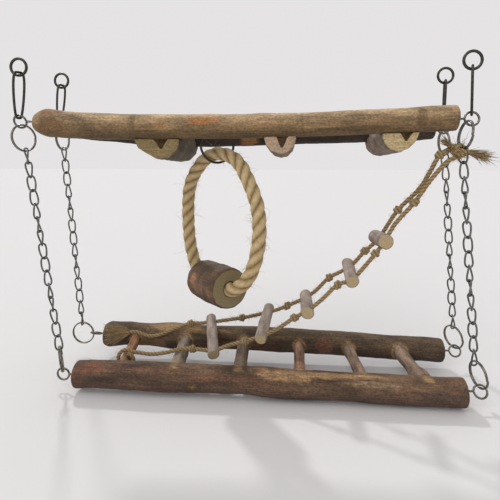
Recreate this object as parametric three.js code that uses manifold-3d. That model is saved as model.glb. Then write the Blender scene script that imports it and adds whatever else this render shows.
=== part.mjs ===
// A small pet hanging bridge for a cage: two frames of natural branches, one above the other.
// Wire hooks hang the upper frame, four twisted-link chains carry the deck below it, a rope ring
// with a perch log hangs between them, and a rope ladder climbs from the deck to the upper frame.
// Millimetres, +X along the rails, +Y towards the rear, +Z up. The origin lies between the four
// hang rings, at the height of the cage wires that they hang on.
import * as THREE from "three";
import { mergeVertices } from "three/addons/utils/BufferGeometryUtils.js";
import Module from "manifold-3d";

const wasm = await Module();
wasm.setup();

const fullTurn = 2 * Math.PI;
const quarterTurn = Math.PI / 2;
const seatGap = 0.3; // clearance between pieces that touch
const boreGap = 0.6; // clearance between the perch log and the rope that it turns on
const cutOverrun = 1; // how far a cutting solid reaches past the face that it cuts

// Hang rings and hooks
const hangRingOuter = 12.4;
const hangRingWire = 1.8;
const hookLength = 29;
const hookWire = 1.6;
const hookTopWidth = 8.4;
const hookFootWidth = 5;

// Screw eyes
const eyeOuter = 9.8;
const eyeWire = 1.4;
const eyeShankDepth = 7;

// Split rings, each of two turns of wire side by side
const splitRingOuter = 18.5;
const splitRingWire = 1.1;
const splitRingTurnWidth = 0.85;
const splitRingGroove = 0.22;
const wireGap = 0.6; // clearance between wires that cross

// Chains
const linkPitch = 9.35;
const linkWire = 1.2;
const linkWidth = 6.1;
const linkTwist = 0.3 * Math.PI; // from one end of a link to the other
const linkSides = 5;
// A link's corners, across and along it
const linkCornerShares = [
  [1, -0.42],
  [1, 0.42],
  [0.6, 1],
  [-0.6, 1],
  [-1, 0.42],
  [-1, -0.42],
  [-0.6, -1],
  [0.6, -1],
];
const linkBiteShare = 0.74; // the distance between two crossed wires, as a share of their thickness

// Frames
const railSpacing = 53;
const frameDrop = 175;
const deckShift = 16.8; // the deck hangs this far to the right of the upper frame
const upperFrontLength = 267.8;
const upperFrontShift = -0.4;
const upperRearLength = 275;
const deckFrontLength = 262.2;
const deckRearLength = 266.4;
const deckRearShift = 18.45;
const upperRailRadius = 8;
const deckRailRadius = 9.4;
const deckRearRise = 7.2; // the deck's rear rail lies higher than its front rail
const barkSwellShare = 0.03; // how far the bark swells and sinks round a branch

// Cross logs under the upper rails
const logRadii = [15.4, 10.2, 11.4];
const logPlaceShares = [-0.192, 0.102, 0.377]; // along the upper front rail
const logSinkShares = [1.27, 1.42, 1.13]; // below the rails' level, in rail radii
const logOverhang = 3.5; // past the axes of both rails
const logTilt = 3; // the rear end lies this much lower
const grooveWidths = [10.5, 6.8, 7.8];
const grooveDrops = [7.4, 7.4, 5.4]; // the groove's foot below the front rail's underside
const grooveDepth = 8;
const grooveOffsetShares = [0.16, 0.12, 0.29]; // to the right of the log's axis, in log radii
const saddleRoomShare = 1.16; // half the width of a saddle, in rail radii
// The logs' outlines: radii as shares, twelve round the axis from the right over the top
const logOutlineShares = [
  [1, 0.98, 0.95, 0.93, 0.95, 0.98, 1.02, 0.95, 0.83, 0.94, 1.02, 1.02],
  [1, 0.98, 0.97, 0.96, 0.98, 1, 1, 0.97, 0.97, 1, 1.01, 1],
  [0.97, 0.98, 0.97, 0.96, 0.98, 1, 1.02, 1.02, 1, 0.98, 0.89, 0.88],
];

// Deck rungs
const rungRadii = [3.75, 4.9, 4.65, 3.9, 4.1, 5];
const rungFrontShares = [-0.378, -0.232, -0.064, 0.094, 0.256, 0.408]; // along the deck's front rail
const rungRearShares = [-0.399, -0.246, -0.072, 0.089, 0.227, 0.37]; // along its rear rail
const rungFrontRise = 3.4; // above the front rail's axis
const rungRearRise = 0.2;
const rungSeatDepth = 6;
// Along a rung: place, size of a common rung, and size of the last rung, which has a thick foot
const rungSizeShares = [
  [0, 1.04, 1.36],
  [0.17, 1.02, 1.3],
  [0.3, 0.98, 1.02],
  [0.7, 1, 0.97],
  [1, 1.03, 1],
];

// Rope swing
const swingShare = -0.057; // its place along the upper front rail
const swingRiseShare = -0.07; // its eye's centre, in eye diameters above the rails' level
const swingReach = 8.4; // from the rail's surface to the eye's centre
const swingRingOuter = 26;
const swingRingWire = 1.6;
const swingRingTurn = 0.59; // about the vertical
const swingRopeRadius = 4.75;
const perchRadius = 13.9;
const perchLength = 40;
const perchSizeShares = [
  [-0.5, 0.93],
  [-0.46, 0.99],
  [-0.15, 1],
  [0.2, 1.01],
  [0.46, 0.99],
  [0.5, 0.94],
]; // place along it and radius
const ropeEndDepth = 8.7; // how far the rope ring's ends reach into the perch log

// Rope ladder
const ladderRopeRadius = 1.5;
const ladderRopeSides = 8;
const ladderKnotRadius = 2.9;
// Round a knot: place between the route's points, and how far the rope has swelled there
const knotSwellShares = [
  [-0.38, 0],
  [-0.22, 0.75],
  [0, 1],
  [0.22, 0.75],
  [0.38, 0],
];
const ladderRungRadii = [5.1, 4.5, 4.6, 4.2, 4.2];
const topKnotRadius = 6;
// The ropes' first points from the top knot's centre, and the front rope's last from the first deck rung's axis
const ladderFrontAnchor = [-3.1, -2.61, -4.03];
const ladderRearAnchor = [-5.9, 0.59, 1.17];
const lashAnchor = [2.0, 0.0, 5.61];
const ladderFootHeight = 30; // below this height above the deck, the ropes keep their places
const lashFadeFrom = 17; // the route's points from here on share the lash's place more and more
const lashFadeTo = 22;
const ladderRungFrontOverhangs = [3, 3.5, 3.5, 4, 4.5]; // past the front rope
const ladderRungRearOverhangs = [11, 8, 5.5, 7, 6]; // past the rear rope
const ladderRungTaperShare = 0.08;
const ladderTails = [12, 14, 9]; // lengths of the frayed ends at the top knot
const tasselLength = 21;
const tasselHeight = 17;
const tasselThickness = 3.6;
// Along the tassel: place, height, thickness and how far it hangs
const tasselShares = [
  [0, 0.16, 0.8, 0],
  [0.3, 0.42, 0.9, 0.05],
  [0.7, 0.85, 1, 0.14],
  [1, 1, 0.9, 0.2],
];
const knotRoomShare = 1.07; // the top knot's room in the ropes, as a share of its size

// The cords' routes are points chosen by hand. The ladder's are measured in the deck's frame, and
// the swing's from the top of its rope ring.
const ladderRearRoute = [
  [130.8, -25.4, 156.9],
  [124.9, -27, 153.2],
  [120.5, -23.5, 142.5],
  [116, -20, 132.2],
  [104.2, -15, 117.3],
  [98.6, -9.5, 105.5],
  [94.6, -6, 96.5],
  [90.2, -4.5, 91.3],
  [86, -3, 87],
  [80.5, -0.5, 79.2],
  [75.9, 2, 73.6],
  [69, 3, 69.3],
  [62.3, 4, 65.1],
  [53.5, 7.2, 54.5],
  [46.4, 9.5, 48.2],
  [39.5, 11, 44],
  [32.9, 12, 40.5],
  [25, 15, 36],
  [17.9, 17, 33.2],
  [8, 18.5, 29.7],
  [-2, 20, 26.8],
  [-14, 21, 24.2],
  [-26.7, 21.5, 22],
  [-34.5, 21, 21],
  [-42.7, 20.3, 20.8],
  [-55.3, 18, 16.7],
  [-67, 14.9, 12.6],
  [-76.3, 15, 11.6],
  [-85, 15.5, 14],
  [-93.5, 14, 14.6],
];
const ladderRearKnots = [1, 4, 8, 12, 16, 20, 24];
const ladderRearHoles = [6, 10, 14, 18, 22];
const ladderFrontRoute = [
  [133.6, -28.6, 151.7],
  [129.1, -29, 149.4],
  [120, -27.8, 138],
  [111.5, -24, 123],
  [100.8, -22, 109],
  [95.4, -19.3, 97.2],
  [89.7, -18.8, 88.6],
  [82, -18, 78.2],
  [75.4, -17.3, 70.4],
  [66.1, -17, 66.4],
  [56, -16.4, 56],
  [46.2, -15.2, 47],
  [37.7, -14.8, 41.9],
  [25.5, -13.2, 32.5],
  [14.6, -11.5, 26.2],
  [3, -11, 22],
  [-9.5, -9, 17.2],
  [-20.4, -7.8, 12.2],
  [-28, -7.3, 12.4],
  [-35.5, -7, 12.8],
  [-45, -8.3, 12.6],
  [-55, -9.2, 10.2],
  [-66, -9.2, 8.6],
  [-74.5, -9.4, 9.4],
  [-80.3, -9.6, 10.2],
  [-83.9, -10.1, 11.6],
  [-87.6, -10.5, 10.4],
  [-89.8, -11.0, 7.2],
  [-89.5, -11.4, 3.3],
  [-86.9, -11.9, 0.3],
  [-83.0, -12.4, -0.5],
  [-79.5, -12.8, 1.3],
  [-77.8, -13.3, 4.8],
  [-78.6, -13.7, 8.5],
  [-81.6, -14.2, 11.0],
];
const ladderFrontKnots = [3, 6, 9, 12, 15, 19];
const ladderFrontHoles = [5, 8, 11, 14, 17];
const swingRopeRoute = [
  [-8.6, 9.3, -91.6],
  [-11.6, 13.3, -91.9],
  [-14.9, 17.7, -92.2],
  [-19.0, 21.9, -88.9],
  [-22.2, 23.7, -80.5],
  [-24.7, 23.5, -69.5],
  [-25.6, 22.3, -57.5],
  [-25.5, 20.3, -39.8],
  [-23.4, 16.3, -25.6],
  [-19.6, 12.3, -16.3],
  [-14.4, 8.3, -9.0],
  [-8.1, 4.3, -2.9],
  [0.0, 0.0, 0.0],
  [10.5, -5.7, -2.3],
  [17.2, -10.7, -8.2],
  [21.1, -15.2, -14.9],
  [24.8, -18.7, -22.2],
  [28.8, -22.7, -33.6],
  [30.2, -25.7, -45.0],
  [29.8, -27.7, -56.5],
  [28.2, -28.2, -65.3],
  [25.5, -27.1, -74.0],
  [21.1, -24.1, -82.0],
  [15.5, -20.6, -87.3],
  [11.3, -17.1, -89.6],
  [8.0, -12.7, -89.9],
  [5.0, -8.7, -90.2],
];

// Heights, stacked up from the cage wires
const hangRingMid = (hangRingOuter - hangRingWire) / 2;
const eyeMid = (eyeOuter - eyeWire) / 2;
const splitRingMid = (splitRingOuter - splitRingWire) / 2;
const hangRingCentreZ = -(hangRingMid - hangRingWire / 2);
const hookTopZ = hangRingCentreZ - hangRingMid + (hangRingWire + hookWire) / 2 + seatGap;
const upperZ = hookTopZ - hookLength + (hookWire + eyeWire) / 2 + seatGap - eyeMid;
const deckZ = upperZ - frameDrop;

// Colours and finishes
function finish(colour, roughness, metalness) {
  return new THREE.MeshStandardMaterial({ color: colour, roughness, metalness });
}
const steel = finish(0x8b8b88, 0.3, 0.9);
const darkWire = finish(0x3f3c34, 0.45, 0.8);
const ringSteel = finish(0x9a9488, 0.28, 0.9);
const lightBark = finish(0x8a6c48, 0.85, 0);
const darkBark = finish(0x4b3a31, 0.9, 0);
const logWood = finish(0x8d7a5a, 0.85, 0);
const rungBark = finish(0x6d5a4c, 0.85, 0);
const perchBark = finish(0x6e4128, 0.8, 0);
const sisal = finish(0xb89c6c, 0.95, 0);
const jute = finish(0x9f8558, 0.95, 0);
const twig = finish(0x8c7a6e, 0.85, 0);

const bridge = new THREE.Group();
const upperFrame = new THREE.Group();
upperFrame.position.z = upperZ;
const deck = new THREE.Group();
deck.position.z = deckZ;
bridge.add(upperFrame, deck);

function addPiece(group, name, solid, material) {
  const mesh = new THREE.Mesh(geometryOf(solid), material);
  mesh.name = name;
  group.add(mesh);
  return mesh;
}

// Between a geometry and a solid that can be joined and cut
function solidOf(geometry) {
  const bare = geometry.index ? geometry.toNonIndexed() : geometry.clone();
  bare.deleteAttribute("normal");
  bare.deleteAttribute("uv");
  const merged = mergeVertices(bare, 1e-4);
  return new wasm.Manifold(
    new wasm.Mesh({
      numProp: 3,
      vertProperties: merged.attributes.position.array,
      triVerts: new Uint32Array(merged.index.array),
    }),
  );
}

function geometryOf(solid) {
  const mesh = solid.getMesh();
  const places = new Float32Array(mesh.numVert * 3);
  for (let i = 0; i < mesh.numVert; i++) {
    places.set(mesh.vertProperties.subarray(i * mesh.numProp, i * mesh.numProp + 3), i * 3);
  }
  const geometry = new THREE.BufferGeometry();
  geometry.setAttribute("position", new THREE.BufferAttribute(places, 3));
  geometry.setIndex(new THREE.BufferAttribute(mesh.triVerts, 1));
  geometry.computeVertexNormals();
  return geometry;
}

// The main body of a cut solid, without loose chips
function largest(solid) {
  return solid.decompose().sort((a, b) => b.volume() - a.volume())[0];
}

function joined(solids) {
  return solids.reduce((whole, next) => whole.add(next));
}

// Rows of points, each as long as the next, skinned into one closed surface.
function skin(rows, closedRound) {
  const sides = rows[0].length;
  const places = rows.flat().flatMap((p) => [p.x, p.y, p.z]);
  const faces = [];
  const last = closedRound ? rows.length : rows.length - 1;
  for (let i = 0; i < last; i++) {
    for (let k = 0; k < sides; k++) {
      const a = i * sides + k;
      const b = i * sides + ((k + 1) % sides);
      const c = ((i + 1) % rows.length) * sides + k;
      const d = ((i + 1) % rows.length) * sides + ((k + 1) % sides);
      faces.push(a, b, d, a, d, c);
    }
  }
  if (!closedRound) {
    const end = (rows.length - 1) * sides;
    for (let k = 1; k < sides - 1; k++) {
      faces.push(0, k + 1, k, end, end + k, end + k + 1);
    }
  }
  const geometry = new THREE.BufferGeometry();
  geometry.setAttribute("position", new THREE.BufferAttribute(new Float32Array(places), 3));
  geometry.setIndex(faces);
  const solid = solidOf(geometry);
  if (solid.volume() > 0) return solid;
  for (let i = 0; i < faces.length; i += 3) [faces[i + 1], faces[i + 2]] = [faces[i + 2], faces[i + 1]];
  geometry.setIndex(faces);
  return solidOf(geometry);
}

// A closed loop of round wire along a curve.
function loopOfWire(curve, radius, steps, sides) {
  const frames = curve.computeFrenetFrames(steps, true);
  const rows = [];
  for (let i = 0; i < steps; i++) {
    const centre = curve.getPointAt(i / steps);
    const row = [];
    for (let k = 0; k < sides; k++) {
      const angle = (fullTurn * k) / sides;
      row.push(
        centre
          .clone()
          .addScaledVector(frames.normals[i], radius * Math.cos(angle))
          .addScaledVector(frames.binormals[i], radius * Math.sin(angle)),
      );
    }
    rows.push(row);
  }
  return skin(rows, true);
}

// A round tube with flat ends along an open curve.
function tube(curve, radius, steps, sides) {
  const section = new THREE.Shape();
  for (let k = 0; k < sides; k++) {
    const angle = (fullTurn * k) / sides;
    const x = radius * Math.cos(angle);
    const y = radius * Math.sin(angle);
    if (k === 0) section.moveTo(x, y);
    else section.lineTo(x, y);
  }
  section.closePath();
  return solidOf(new THREE.ExtrudeGeometry(section, { steps, extrudePath: curve, bevelEnabled: false }));
}

// A straight rod between two points.
function rod(from, to, radius, sides) {
  return tube(new THREE.LineCurve3(from, to), radius, 1, sides);
}

function torus(mid, wireRadius, sides, steps) {
  return solidOf(new THREE.TorusGeometry(mid, wireRadius, sides, steps));
}

function moved(solid, matrix) {
  return solid.transform(matrix.toArray());
}

function placed(position, rotation = new THREE.Euler()) {
  return new THREE.Matrix4().compose(
    position,
    new THREE.Quaternion().setFromEuler(rotation),
    new THREE.Vector3(1, 1, 1),
  );
}

// A natural branch lofted along a list of stations: centre, radius and a phase for its lobes.
function branch(stations, sides, swell, extra = 0) {
  const rows = stations.map((station, i) => {
    const before = stations[Math.max(i - 1, 0)].centre;
    const after = stations[Math.min(i + 1, stations.length - 1)].centre;
    const along = after.clone().sub(before).normalize();
    const upright = new THREE.Vector3(0, 0, 1);
    const across = new THREE.Vector3().crossVectors(upright, along).normalize();
    const above = new THREE.Vector3().crossVectors(along, across);
    const row = [];
    for (let k = 0; k < sides; k++) {
      const angle = (fullTurn * k) / sides;
      const lobe = swell * (Math.sin(2 * angle + 1.7 * i) + Math.cos(3 * angle - 1.1 * i));
      const radius = station.radius + extra + lobe;
      row.push(
        station.centre
          .clone()
          .addScaledVector(across, radius * Math.cos(angle))
          .addScaledVector(above, radius * Math.sin(angle)),
      );
    }
    return row;
  });
  return skin(rows, false);
}

// The rails' stations: place along the rail as a share of its length, rise of the centre and
// radius as shares of the rail's radius.
const upperFrontShares = [
  [-0.5, -0.15, 0.5],
  [-0.494, -0.12, 0.74],
  [-0.483, -0.11, 0.94],
  [-0.468, -0.11, 1.12],
  [-0.45, -0.16, 1.1],
  [-0.39, -0.34, 1.07],
  [-0.28, -0.46, 1.03],
  [-0.13, -0.48, 0.98],
  [0.01, -0.47, 0.96],
  [0.14, -0.4, 0.94],
  [0.27, -0.24, 0.95],
  [0.41, -0.06, 0.96],
  [0.493, 0.07, 0.97],
  [0.5, 0.07, 0.91],
];
const upperRearShares = [
  [-0.5, -0.05, 0.92],
  [-0.492, -0.09, 1.0],
  [-0.435, -0.3, 1.03],
  [-0.31, -0.66, 1.04],
  [-0.13, -0.97, 1.03],
  [0.02, -0.89, 1.01],
  [0.2, -0.68, 1.02],
  [0.36, -0.54, 1.04],
  [0.45, -0.44, 1.02],
  [0.493, -0.36, 1.0],
  [0.5, -0.36, 0.94],
];
const deckFrontShares = [
  [-0.5, -0.02, 0.83],
  [-0.49, 0.03, 1.02],
  [-0.464, 0.1, 0.98],
  [-0.4, 0.13, 1.0],
  [-0.29, 0.11, 1.03],
  [-0.15, 0.14, 0.98],
  [-0.03, 0.14, 0.97],
  [0.02, 0.04, 1.03],
  [0.17, 0, 0.96],
  [0.33, -0.06, 1.0],
  [0.45, -0.09, 0.98],
  [0.492, -0.1, 1.03],
  [0.5, -0.1, 0.98],
];
const deckRearShares = [
  [-0.5, -0.07, 0.82],
  [-0.485, -0.01, 1.1],
  [-0.445, 0.08, 1.0],
  [-0.36, 0.06, 0.92],
  [-0.29, 0.02, 1.08],
  [-0.22, 0.02, 0.98],
  [0, 0.01, 0.99],
  [0.18, -0.1, 0.97],
  [0.35, -0.28, 0.96],
  [0.492, -0.4, 0.96],
  [0.5, -0.4, 0.9],
];

function railStations(shares, length, radius, middle) {
  return shares.map(([place, rise, size]) => ({
    centre: new THREE.Vector3(middle.x + place * length, middle.y, middle.z + rise * radius),
    radius: size * radius,
  }));
}

const frontY = -railSpacing / 2;
const rearY = railSpacing / 2;
const railSides = 12;
const rails = {
  upperFront: {
    stations: railStations(
      upperFrontShares,
      upperFrontLength,
      upperRailRadius,
      new THREE.Vector3(upperFrontShift, frontY, 0),
    ),
    length: upperFrontLength,
    x: upperFrontShift,
  },
  upperRear: {
    stations: railStations(upperRearShares, upperRearLength, upperRailRadius, new THREE.Vector3(0, rearY, 0)),
    length: upperRearLength,
    x: 0,
  },
  deckFront: {
    stations: railStations(
      deckFrontShares,
      deckFrontLength,
      deckRailRadius,
      new THREE.Vector3(deckShift, frontY, 0),
    ),
    length: deckFrontLength,
    x: deckShift,
  },
  deckRear: {
    stations: railStations(
      deckRearShares,
      deckRearLength,
      deckRailRadius,
      new THREE.Vector3(deckRearShift, rearY, deckRearRise),
    ),
    length: deckRearLength,
    x: deckRearShift,
  },
};

// The height of a rail's axis at a place along it.
function railHeight(rail, x) {
  const stations = rail.stations;
  const next = Math.max(1, stations.findIndex((s) => s.centre.x >= x));
  const a = stations[next - 1].centre;
  const b = stations[next].centre;
  return THREE.MathUtils.lerp(a.z, b.z, (x - a.x) / (b.x - a.x));
}

function railEnd(rail, side) {
  const stations = rail.stations;
  return (side < 0 ? stations[0] : stations[stations.length - 1]).centre.clone();
}

// A screw eye whose loop lies round its own origin, with the shank along +X, turned about it.
function screwEye(turnAboutShank, reach) {
  const loop = moved(
    torus(eyeMid, eyeWire / 2, 6, 14),
    placed(new THREE.Vector3(), new THREE.Euler(quarterTurn + turnAboutShank, 0, 0)),
  );
  const shank = rod(
    new THREE.Vector3(eyeMid, 0, 0),
    new THREE.Vector3(reach + eyeShankDepth, 0, 0),
    eyeWire / 2,
    6,
  );
  return loop.add(shank);
}

function shankHole(end, side) {
  return rod(
    end.clone().add(new THREE.Vector3(side * cutOverrun, 0, 0)),
    end.clone().add(new THREE.Vector3(-side * (eyeShankDepth + seatGap), 0, 0)),
    eyeWire / 2 + seatGap,
    8,
  );
}

// A split ring: two turns side by side with a groove between them, round its own Y axis.
function splitRing() {
  const inner = splitRingOuter / 2 - splitRingWire;
  const outer = splitRingOuter / 2;
  const half = splitRingTurnWidth;
  const groove = splitRingGroove;
  const profile = [
    [inner + groove, 0],
    [inner, -half],
    [outer, -half],
    [outer - groove, 0],
    [outer, half],
    [inner, half],
    [inner + groove, 0],
  ].map(([r, y]) => new THREE.Vector2(r, y));
  return solidOf(new THREE.LatheGeometry(profile, 18));
}

// A chain link: a long loop with flat ends, mitred at its corners and twisted along its length.
function chainLink(length, growth) {
  const halfLength = length / 2;
  const halfWidth = (linkWidth - linkWire) / 2;
  const corners = linkCornerShares.map(([x, y]) => new THREE.Vector2(x * halfWidth, y * halfLength));
  const rows = corners.map((corner, i) => {
    const before = corner.clone().sub(corners.at(i - 1)).normalize();
    const after = corners[(i + 1) % corners.length].clone().sub(corner).normalize();
    const along = before.clone().add(after).normalize();
    const outward = new THREE.Vector2(along.y, -along.x);
    const mitre = 1 / along.dot(before);
    return Array.from({ length: linkSides }, (_, k) => {
      const angle = (fullTurn * k) / linkSides;
      const radius = linkWire / 2 + growth;
      const flat = corner.clone().addScaledVector(outward, mitre * radius * Math.cos(angle));
      const off = radius * Math.sin(angle);
      const twist = (linkTwist * flat.y) / length;
      return new THREE.Vector3(
        flat.x * Math.cos(twist) - off * Math.sin(twist),
        flat.x * Math.sin(twist) + off * Math.cos(twist),
        flat.y,
      );
    });
  });
  return skin(rows, true);
}

// A turn about the line that a ring or a link hangs along.
function hangingTurn(line, turn) {
  const lean = new THREE.Quaternion().setFromUnitVectors(new THREE.Vector3(0, 0, -1), line);
  return lean.multiply(new THREE.Quaternion().setFromAxisAngle(new THREE.Vector3(0, 0, 1), turn));
}

// A run of linked links between two points, joined where they touch.
function chain(from, to, startTurn, endTurn, growth) {
  const span = from.distanceTo(to);
  const bite = linkWire * linkBiteShare;
  const count = Math.round((span - bite) / linkPitch);
  const pitch = (span - bite) / count;
  const link = chainLink(pitch + bite, growth);
  // Each link is turned against the one above it, so that the last one crosses the ring below.
  const half = fullTurn / 2;
  const plain = (count - 1) * (quarterTurn - linkTwist);
  const rest = endTurn - startTurn - plain;
  const step = (plain + rest - half * Math.round(rest / half)) / (count - 1);
  const down = to.clone().sub(from).normalize();
  const links = [];
  for (let i = 0; i < count; i++) {
    const turnHere = startTurn + i * step;
    const centre = from.clone().addScaledVector(down, (pitch + bite) / 2 + i * pitch);
    const matrix = new THREE.Matrix4().compose(
      centre,
      hangingTurn(down, turnHere),
      new THREE.Vector3(1, 1, 1),
    );
    links.push(moved(link, matrix));
  }
  return joined(links);
}

// A hook: a long pear-shaped loop of wire, hanging down from its own origin.
class HookCurve extends THREE.Curve {
  constructor(length) {
    super();
    this.length = length;
  }
  getUtoTmapping(u) {
    return u;
  }
  getPoint(t) {
    const angle = fullTurn * t;
    const down = (this.length * (1 - Math.cos(angle))) / 2;
    const width = THREE.MathUtils.lerp(hookTopWidth, hookFootWidth, down / this.length);
    const squareness = 0.32;
    const across = (width / 2) * Math.sign(Math.sin(angle)) * Math.abs(Math.sin(angle)) ** squareness;
    return new THREE.Vector3(across, 0, -down);
  }
}

// The corners: how far the screw eyes stand out and up, in eye diameters, how eyes, rings and hook
// are turned, how far round its eye each ring has slid, how far inward the upper ring is pulled, as a
// share of its own length, and how far inward of its eye the hook hangs.
const corners = [
  {
    name: "front_left",
    side: -1,
    row: -1,
    upperReachShare: 1.045,
    upperRiseShare: 0,
    deckReachShare: 0.98,
    deckRiseShare: 0,
    upperEyeTurn: 0.35,
    upperRingTurn: 1.2,
    upperSlide: 0,
    upperPullShare: 0,
    deckEyeTurn: 0,
    deckRingTurn: 2.05,
    deckSlide: 0,
    hookTurn: 1.05,
    hangInset: 2,
  },
  {
    name: "front_right",
    side: 1,
    row: -1,
    upperReachShare: 0.946,
    upperRiseShare: 0,
    deckReachShare: 1.03,
    deckRiseShare: 0.05,
    upperEyeTurn: 0.2,
    upperRingTurn: -1.5,
    upperSlide: -0.95,
    upperPullShare: 0.26,
    deckEyeTurn: 0.6,
    deckRingTurn: -1.35,
    deckSlide: 0,
    hookTurn: 1.2,
    hangInset: 1,
  },
  {
    name: "rear_left",
    side: -1,
    row: 1,
    upperReachShare: 0.82,
    upperRiseShare: 0.13,
    deckReachShare: 0.88,
    deckRiseShare: 0.73,
    upperEyeTurn: 0.2,
    upperRingTurn: 1.5,
    upperSlide: 0,
    upperPullShare: 0,
    deckEyeTurn: 1,
    deckRingTurn: 0,
    deckSlide: quarterTurn,
    hookTurn: 1.2,
    hangInset: 3.2,
  },
  {
    name: "rear_right",
    side: 1,
    row: 1,
    upperReachShare: 0.72,
    upperRiseShare: -0.25,
    deckReachShare: 1.005,
    deckRiseShare: 0.32,
    upperEyeTurn: 0.2,
    upperRingTurn: -1.45,
    upperSlide: 0,
    upperPullShare: 0,
    deckEyeTurn: 0.5,
    deckRingTurn: -1.1,
    deckSlide: 0,
    hookTurn: 1.4,
    hangInset: 0,
  },
];

const holes = { upperFront: [], upperRear: [], deckFront: [], deckRear: [] };
const hardware = {};

for (const corner of corners) {
  const upperRail = corner.row < 0 ? "upperFront" : "upperRear";
  const deckRail = corner.row < 0 ? "deckFront" : "deckRear";
  const upperReach = corner.upperReachShare * eyeOuter;
  const deckReach = corner.deckReachShare * eyeOuter;
  const upperEnd = railEnd(rails[upperRail], corner.side).setZ(corner.upperRiseShare * eyeOuter);
  const deckEnd = railEnd(rails[deckRail], corner.side).setZ(corner.deckRiseShare * eyeOuter);
  holes[upperRail].push(shankHole(upperEnd, corner.side));
  holes[deckRail].push(shankHole(deckEnd, corner.side));

  const upperEye = upperEnd.clone().add(new THREE.Vector3(corner.side * upperReach, 0, 0));
  const deckEye = deckEnd.clone().add(new THREE.Vector3(corner.side * deckReach, 0, 0));
  const faceRail = corner.side < 0 ? 0 : Math.PI;
  const eyes = [
    ["upper_eye_", upperFrame, upperEye, corner.upperEyeTurn, upperReach],
    ["deck_eye_", deck, deckEye, corner.deckEyeTurn, deckReach],
  ];
  for (const [prefix, group, centre, eyeTurn, reach] of eyes) {
    const eye = addPiece(group, prefix + corner.name, screwEye(eyeTurn, reach), ringSteel);
    eye.position.copy(centre);
    eye.rotation.z = faceRail;
  }
  // Up in the plane of each eye's loop
  const upperUp = new THREE.Vector3(0, corner.side * Math.sin(corner.upperEyeTurn), Math.cos(corner.upperEyeTurn));
  const deckUp = new THREE.Vector3(0, corner.side * Math.sin(corner.deckEyeTurn), Math.cos(corner.deckEyeTurn));
  const outward = new THREE.Vector3(corner.side, 0, 0);

  // The hang ring, and the hook that hangs from it with its foot in the upper eye
  const eyeTop = upperEye.clone().addScaledVector(upperUp, eyeMid);
  eyeTop.z += upperZ;
  const hangRing = addPiece(
    bridge,
    "hang_ring_" + corner.name,
    moved(
      torus(hangRingMid, hangRingWire / 2, 6, 14),
      placed(new THREE.Vector3(), new THREE.Euler(quarterTurn, 0, 0)),
    ),
    darkWire,
  );
  const hangX = eyeTop.x - corner.side * corner.hangInset;
  hangRing.position.set(hangX, eyeTop.y, hangRingCentreZ);
  const footZ = eyeTop.z - (eyeWire + hookWire) / 2 - seatGap;
  const hookLine = new THREE.Vector3(eyeTop.x - hangX, 0, footZ - hookTopZ);
  const hook = addPiece(
    bridge,
    "hook_" + corner.name,
    loopOfWire(new HookCurve(hookLine.length()), hookWire / 2, 22, 5),
    darkWire,
  );
  hook.position.set(hangX, eyeTop.y, hookTopZ);
  hook.quaternion.copy(hangingTurn(hookLine.normalize(), corner.hookTurn));

  // The two split rings and the chain between them
  // Where each ring's wire lies inside its eye, square to both wires
  const flopped = corner.deckSlide > 1;
  const holdIn = (eye, loopUp, slide, ringTangent) => {
    const contact = loopUp.clone().multiplyScalar(Math.cos(slide)).addScaledVector(outward, Math.sin(slide));
    const tangent = outward.clone().multiplyScalar(Math.cos(slide)).addScaledVector(loopUp, -Math.sin(slide));
    const off = new THREE.Vector3().crossVectors(tangent, ringTangent).normalize();
    if (off.dot(contact) > 0) off.negate();
    // The ring is wider along its own axis than across its wire
    const sideways = Math.abs(off.x * ringTangent.y - off.y * ringTangent.x);
    const width = THREE.MathUtils.lerp(splitRingWire, 2 * splitRingTurnWidth, sideways);
    const grip = (eyeWire + width) / 2 + wireGap;
    return eye.clone().addScaledVector(contact, eyeMid).addScaledVector(off, grip);
  };
  const across = (turn) => new THREE.Vector3(Math.cos(turn), Math.sin(turn), 0);
  const upperHold = holdIn(upperEye, upperUp.clone().negate(), corner.upperSlide, across(corner.upperRingTurn));
  const deckHold = holdIn(
    deckEye,
    deckUp,
    corner.deckSlide,
    flopped ? new THREE.Vector3(0, 0, 1) : across(corner.deckRingTurn),
  );
  upperHold.z += upperZ;
  deckHold.z += deckZ;
  const down = deckHold.clone().sub(upperHold).normalize();
  const pulled = down.clone().addScaledVector(outward, -corner.upperPullShare).normalize();
  const upperRingCentre = upperHold.clone().addScaledVector(pulled, splitRingMid);
  const deckRingCentre = flopped
    ? deckHold.clone().addScaledVector(outward, splitRingMid)
    : deckHold.clone().addScaledVector(down, -splitRingMid);
  const linkSeat = (splitRingWire + linkWire) / 2 + wireGap;
  const line = deckRingCentre.clone().sub(upperRingCentre).normalize();
  const upperRingLine = line.clone().addScaledVector(outward, -corner.upperPullShare).normalize();
  const upperRingFoot = upperRingCentre.clone().addScaledVector(upperRingLine, splitRingMid);
  const rings = [
    ["upper_split_ring_", upperRingCentre, upperRingLine, corner.upperRingTurn],
    ["deck_split_ring_", deckRingCentre, line, corner.deckRingTurn],
  ];
  for (const [prefix, centre, hanging, ringTurn] of rings) {
    const ring = addPiece(bridge, prefix + corner.name, splitRing(), ringSteel);
    ring.position.copy(centre);
    ring.quaternion.copy(hangingTurn(hanging, ringTurn));
  }
  const chainTop = upperRingFoot.clone().addScaledVector(line, -linkSeat);
  const chainFoot = deckRingCentre.clone().addScaledVector(line, linkSeat - splitRingMid);
  const linkRun = [
    chainTop,
    chainFoot,
    corner.upperRingTurn + quarterTurn - linkTwist / 2,
    corner.deckRingTurn + quarterTurn + linkTwist / 2,
  ];
  addPiece(bridge, "chain_" + corner.name, chain(...linkRun, 0), steel);
  hardware[corner.name] = {
    upperRingCentre,
    upperRingFoot,
    upperRingLean: hangingTurn(upperRingLine, corner.upperRingTurn),
    chainRoom: chain(...linkRun, wireGap),
  };
}

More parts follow.
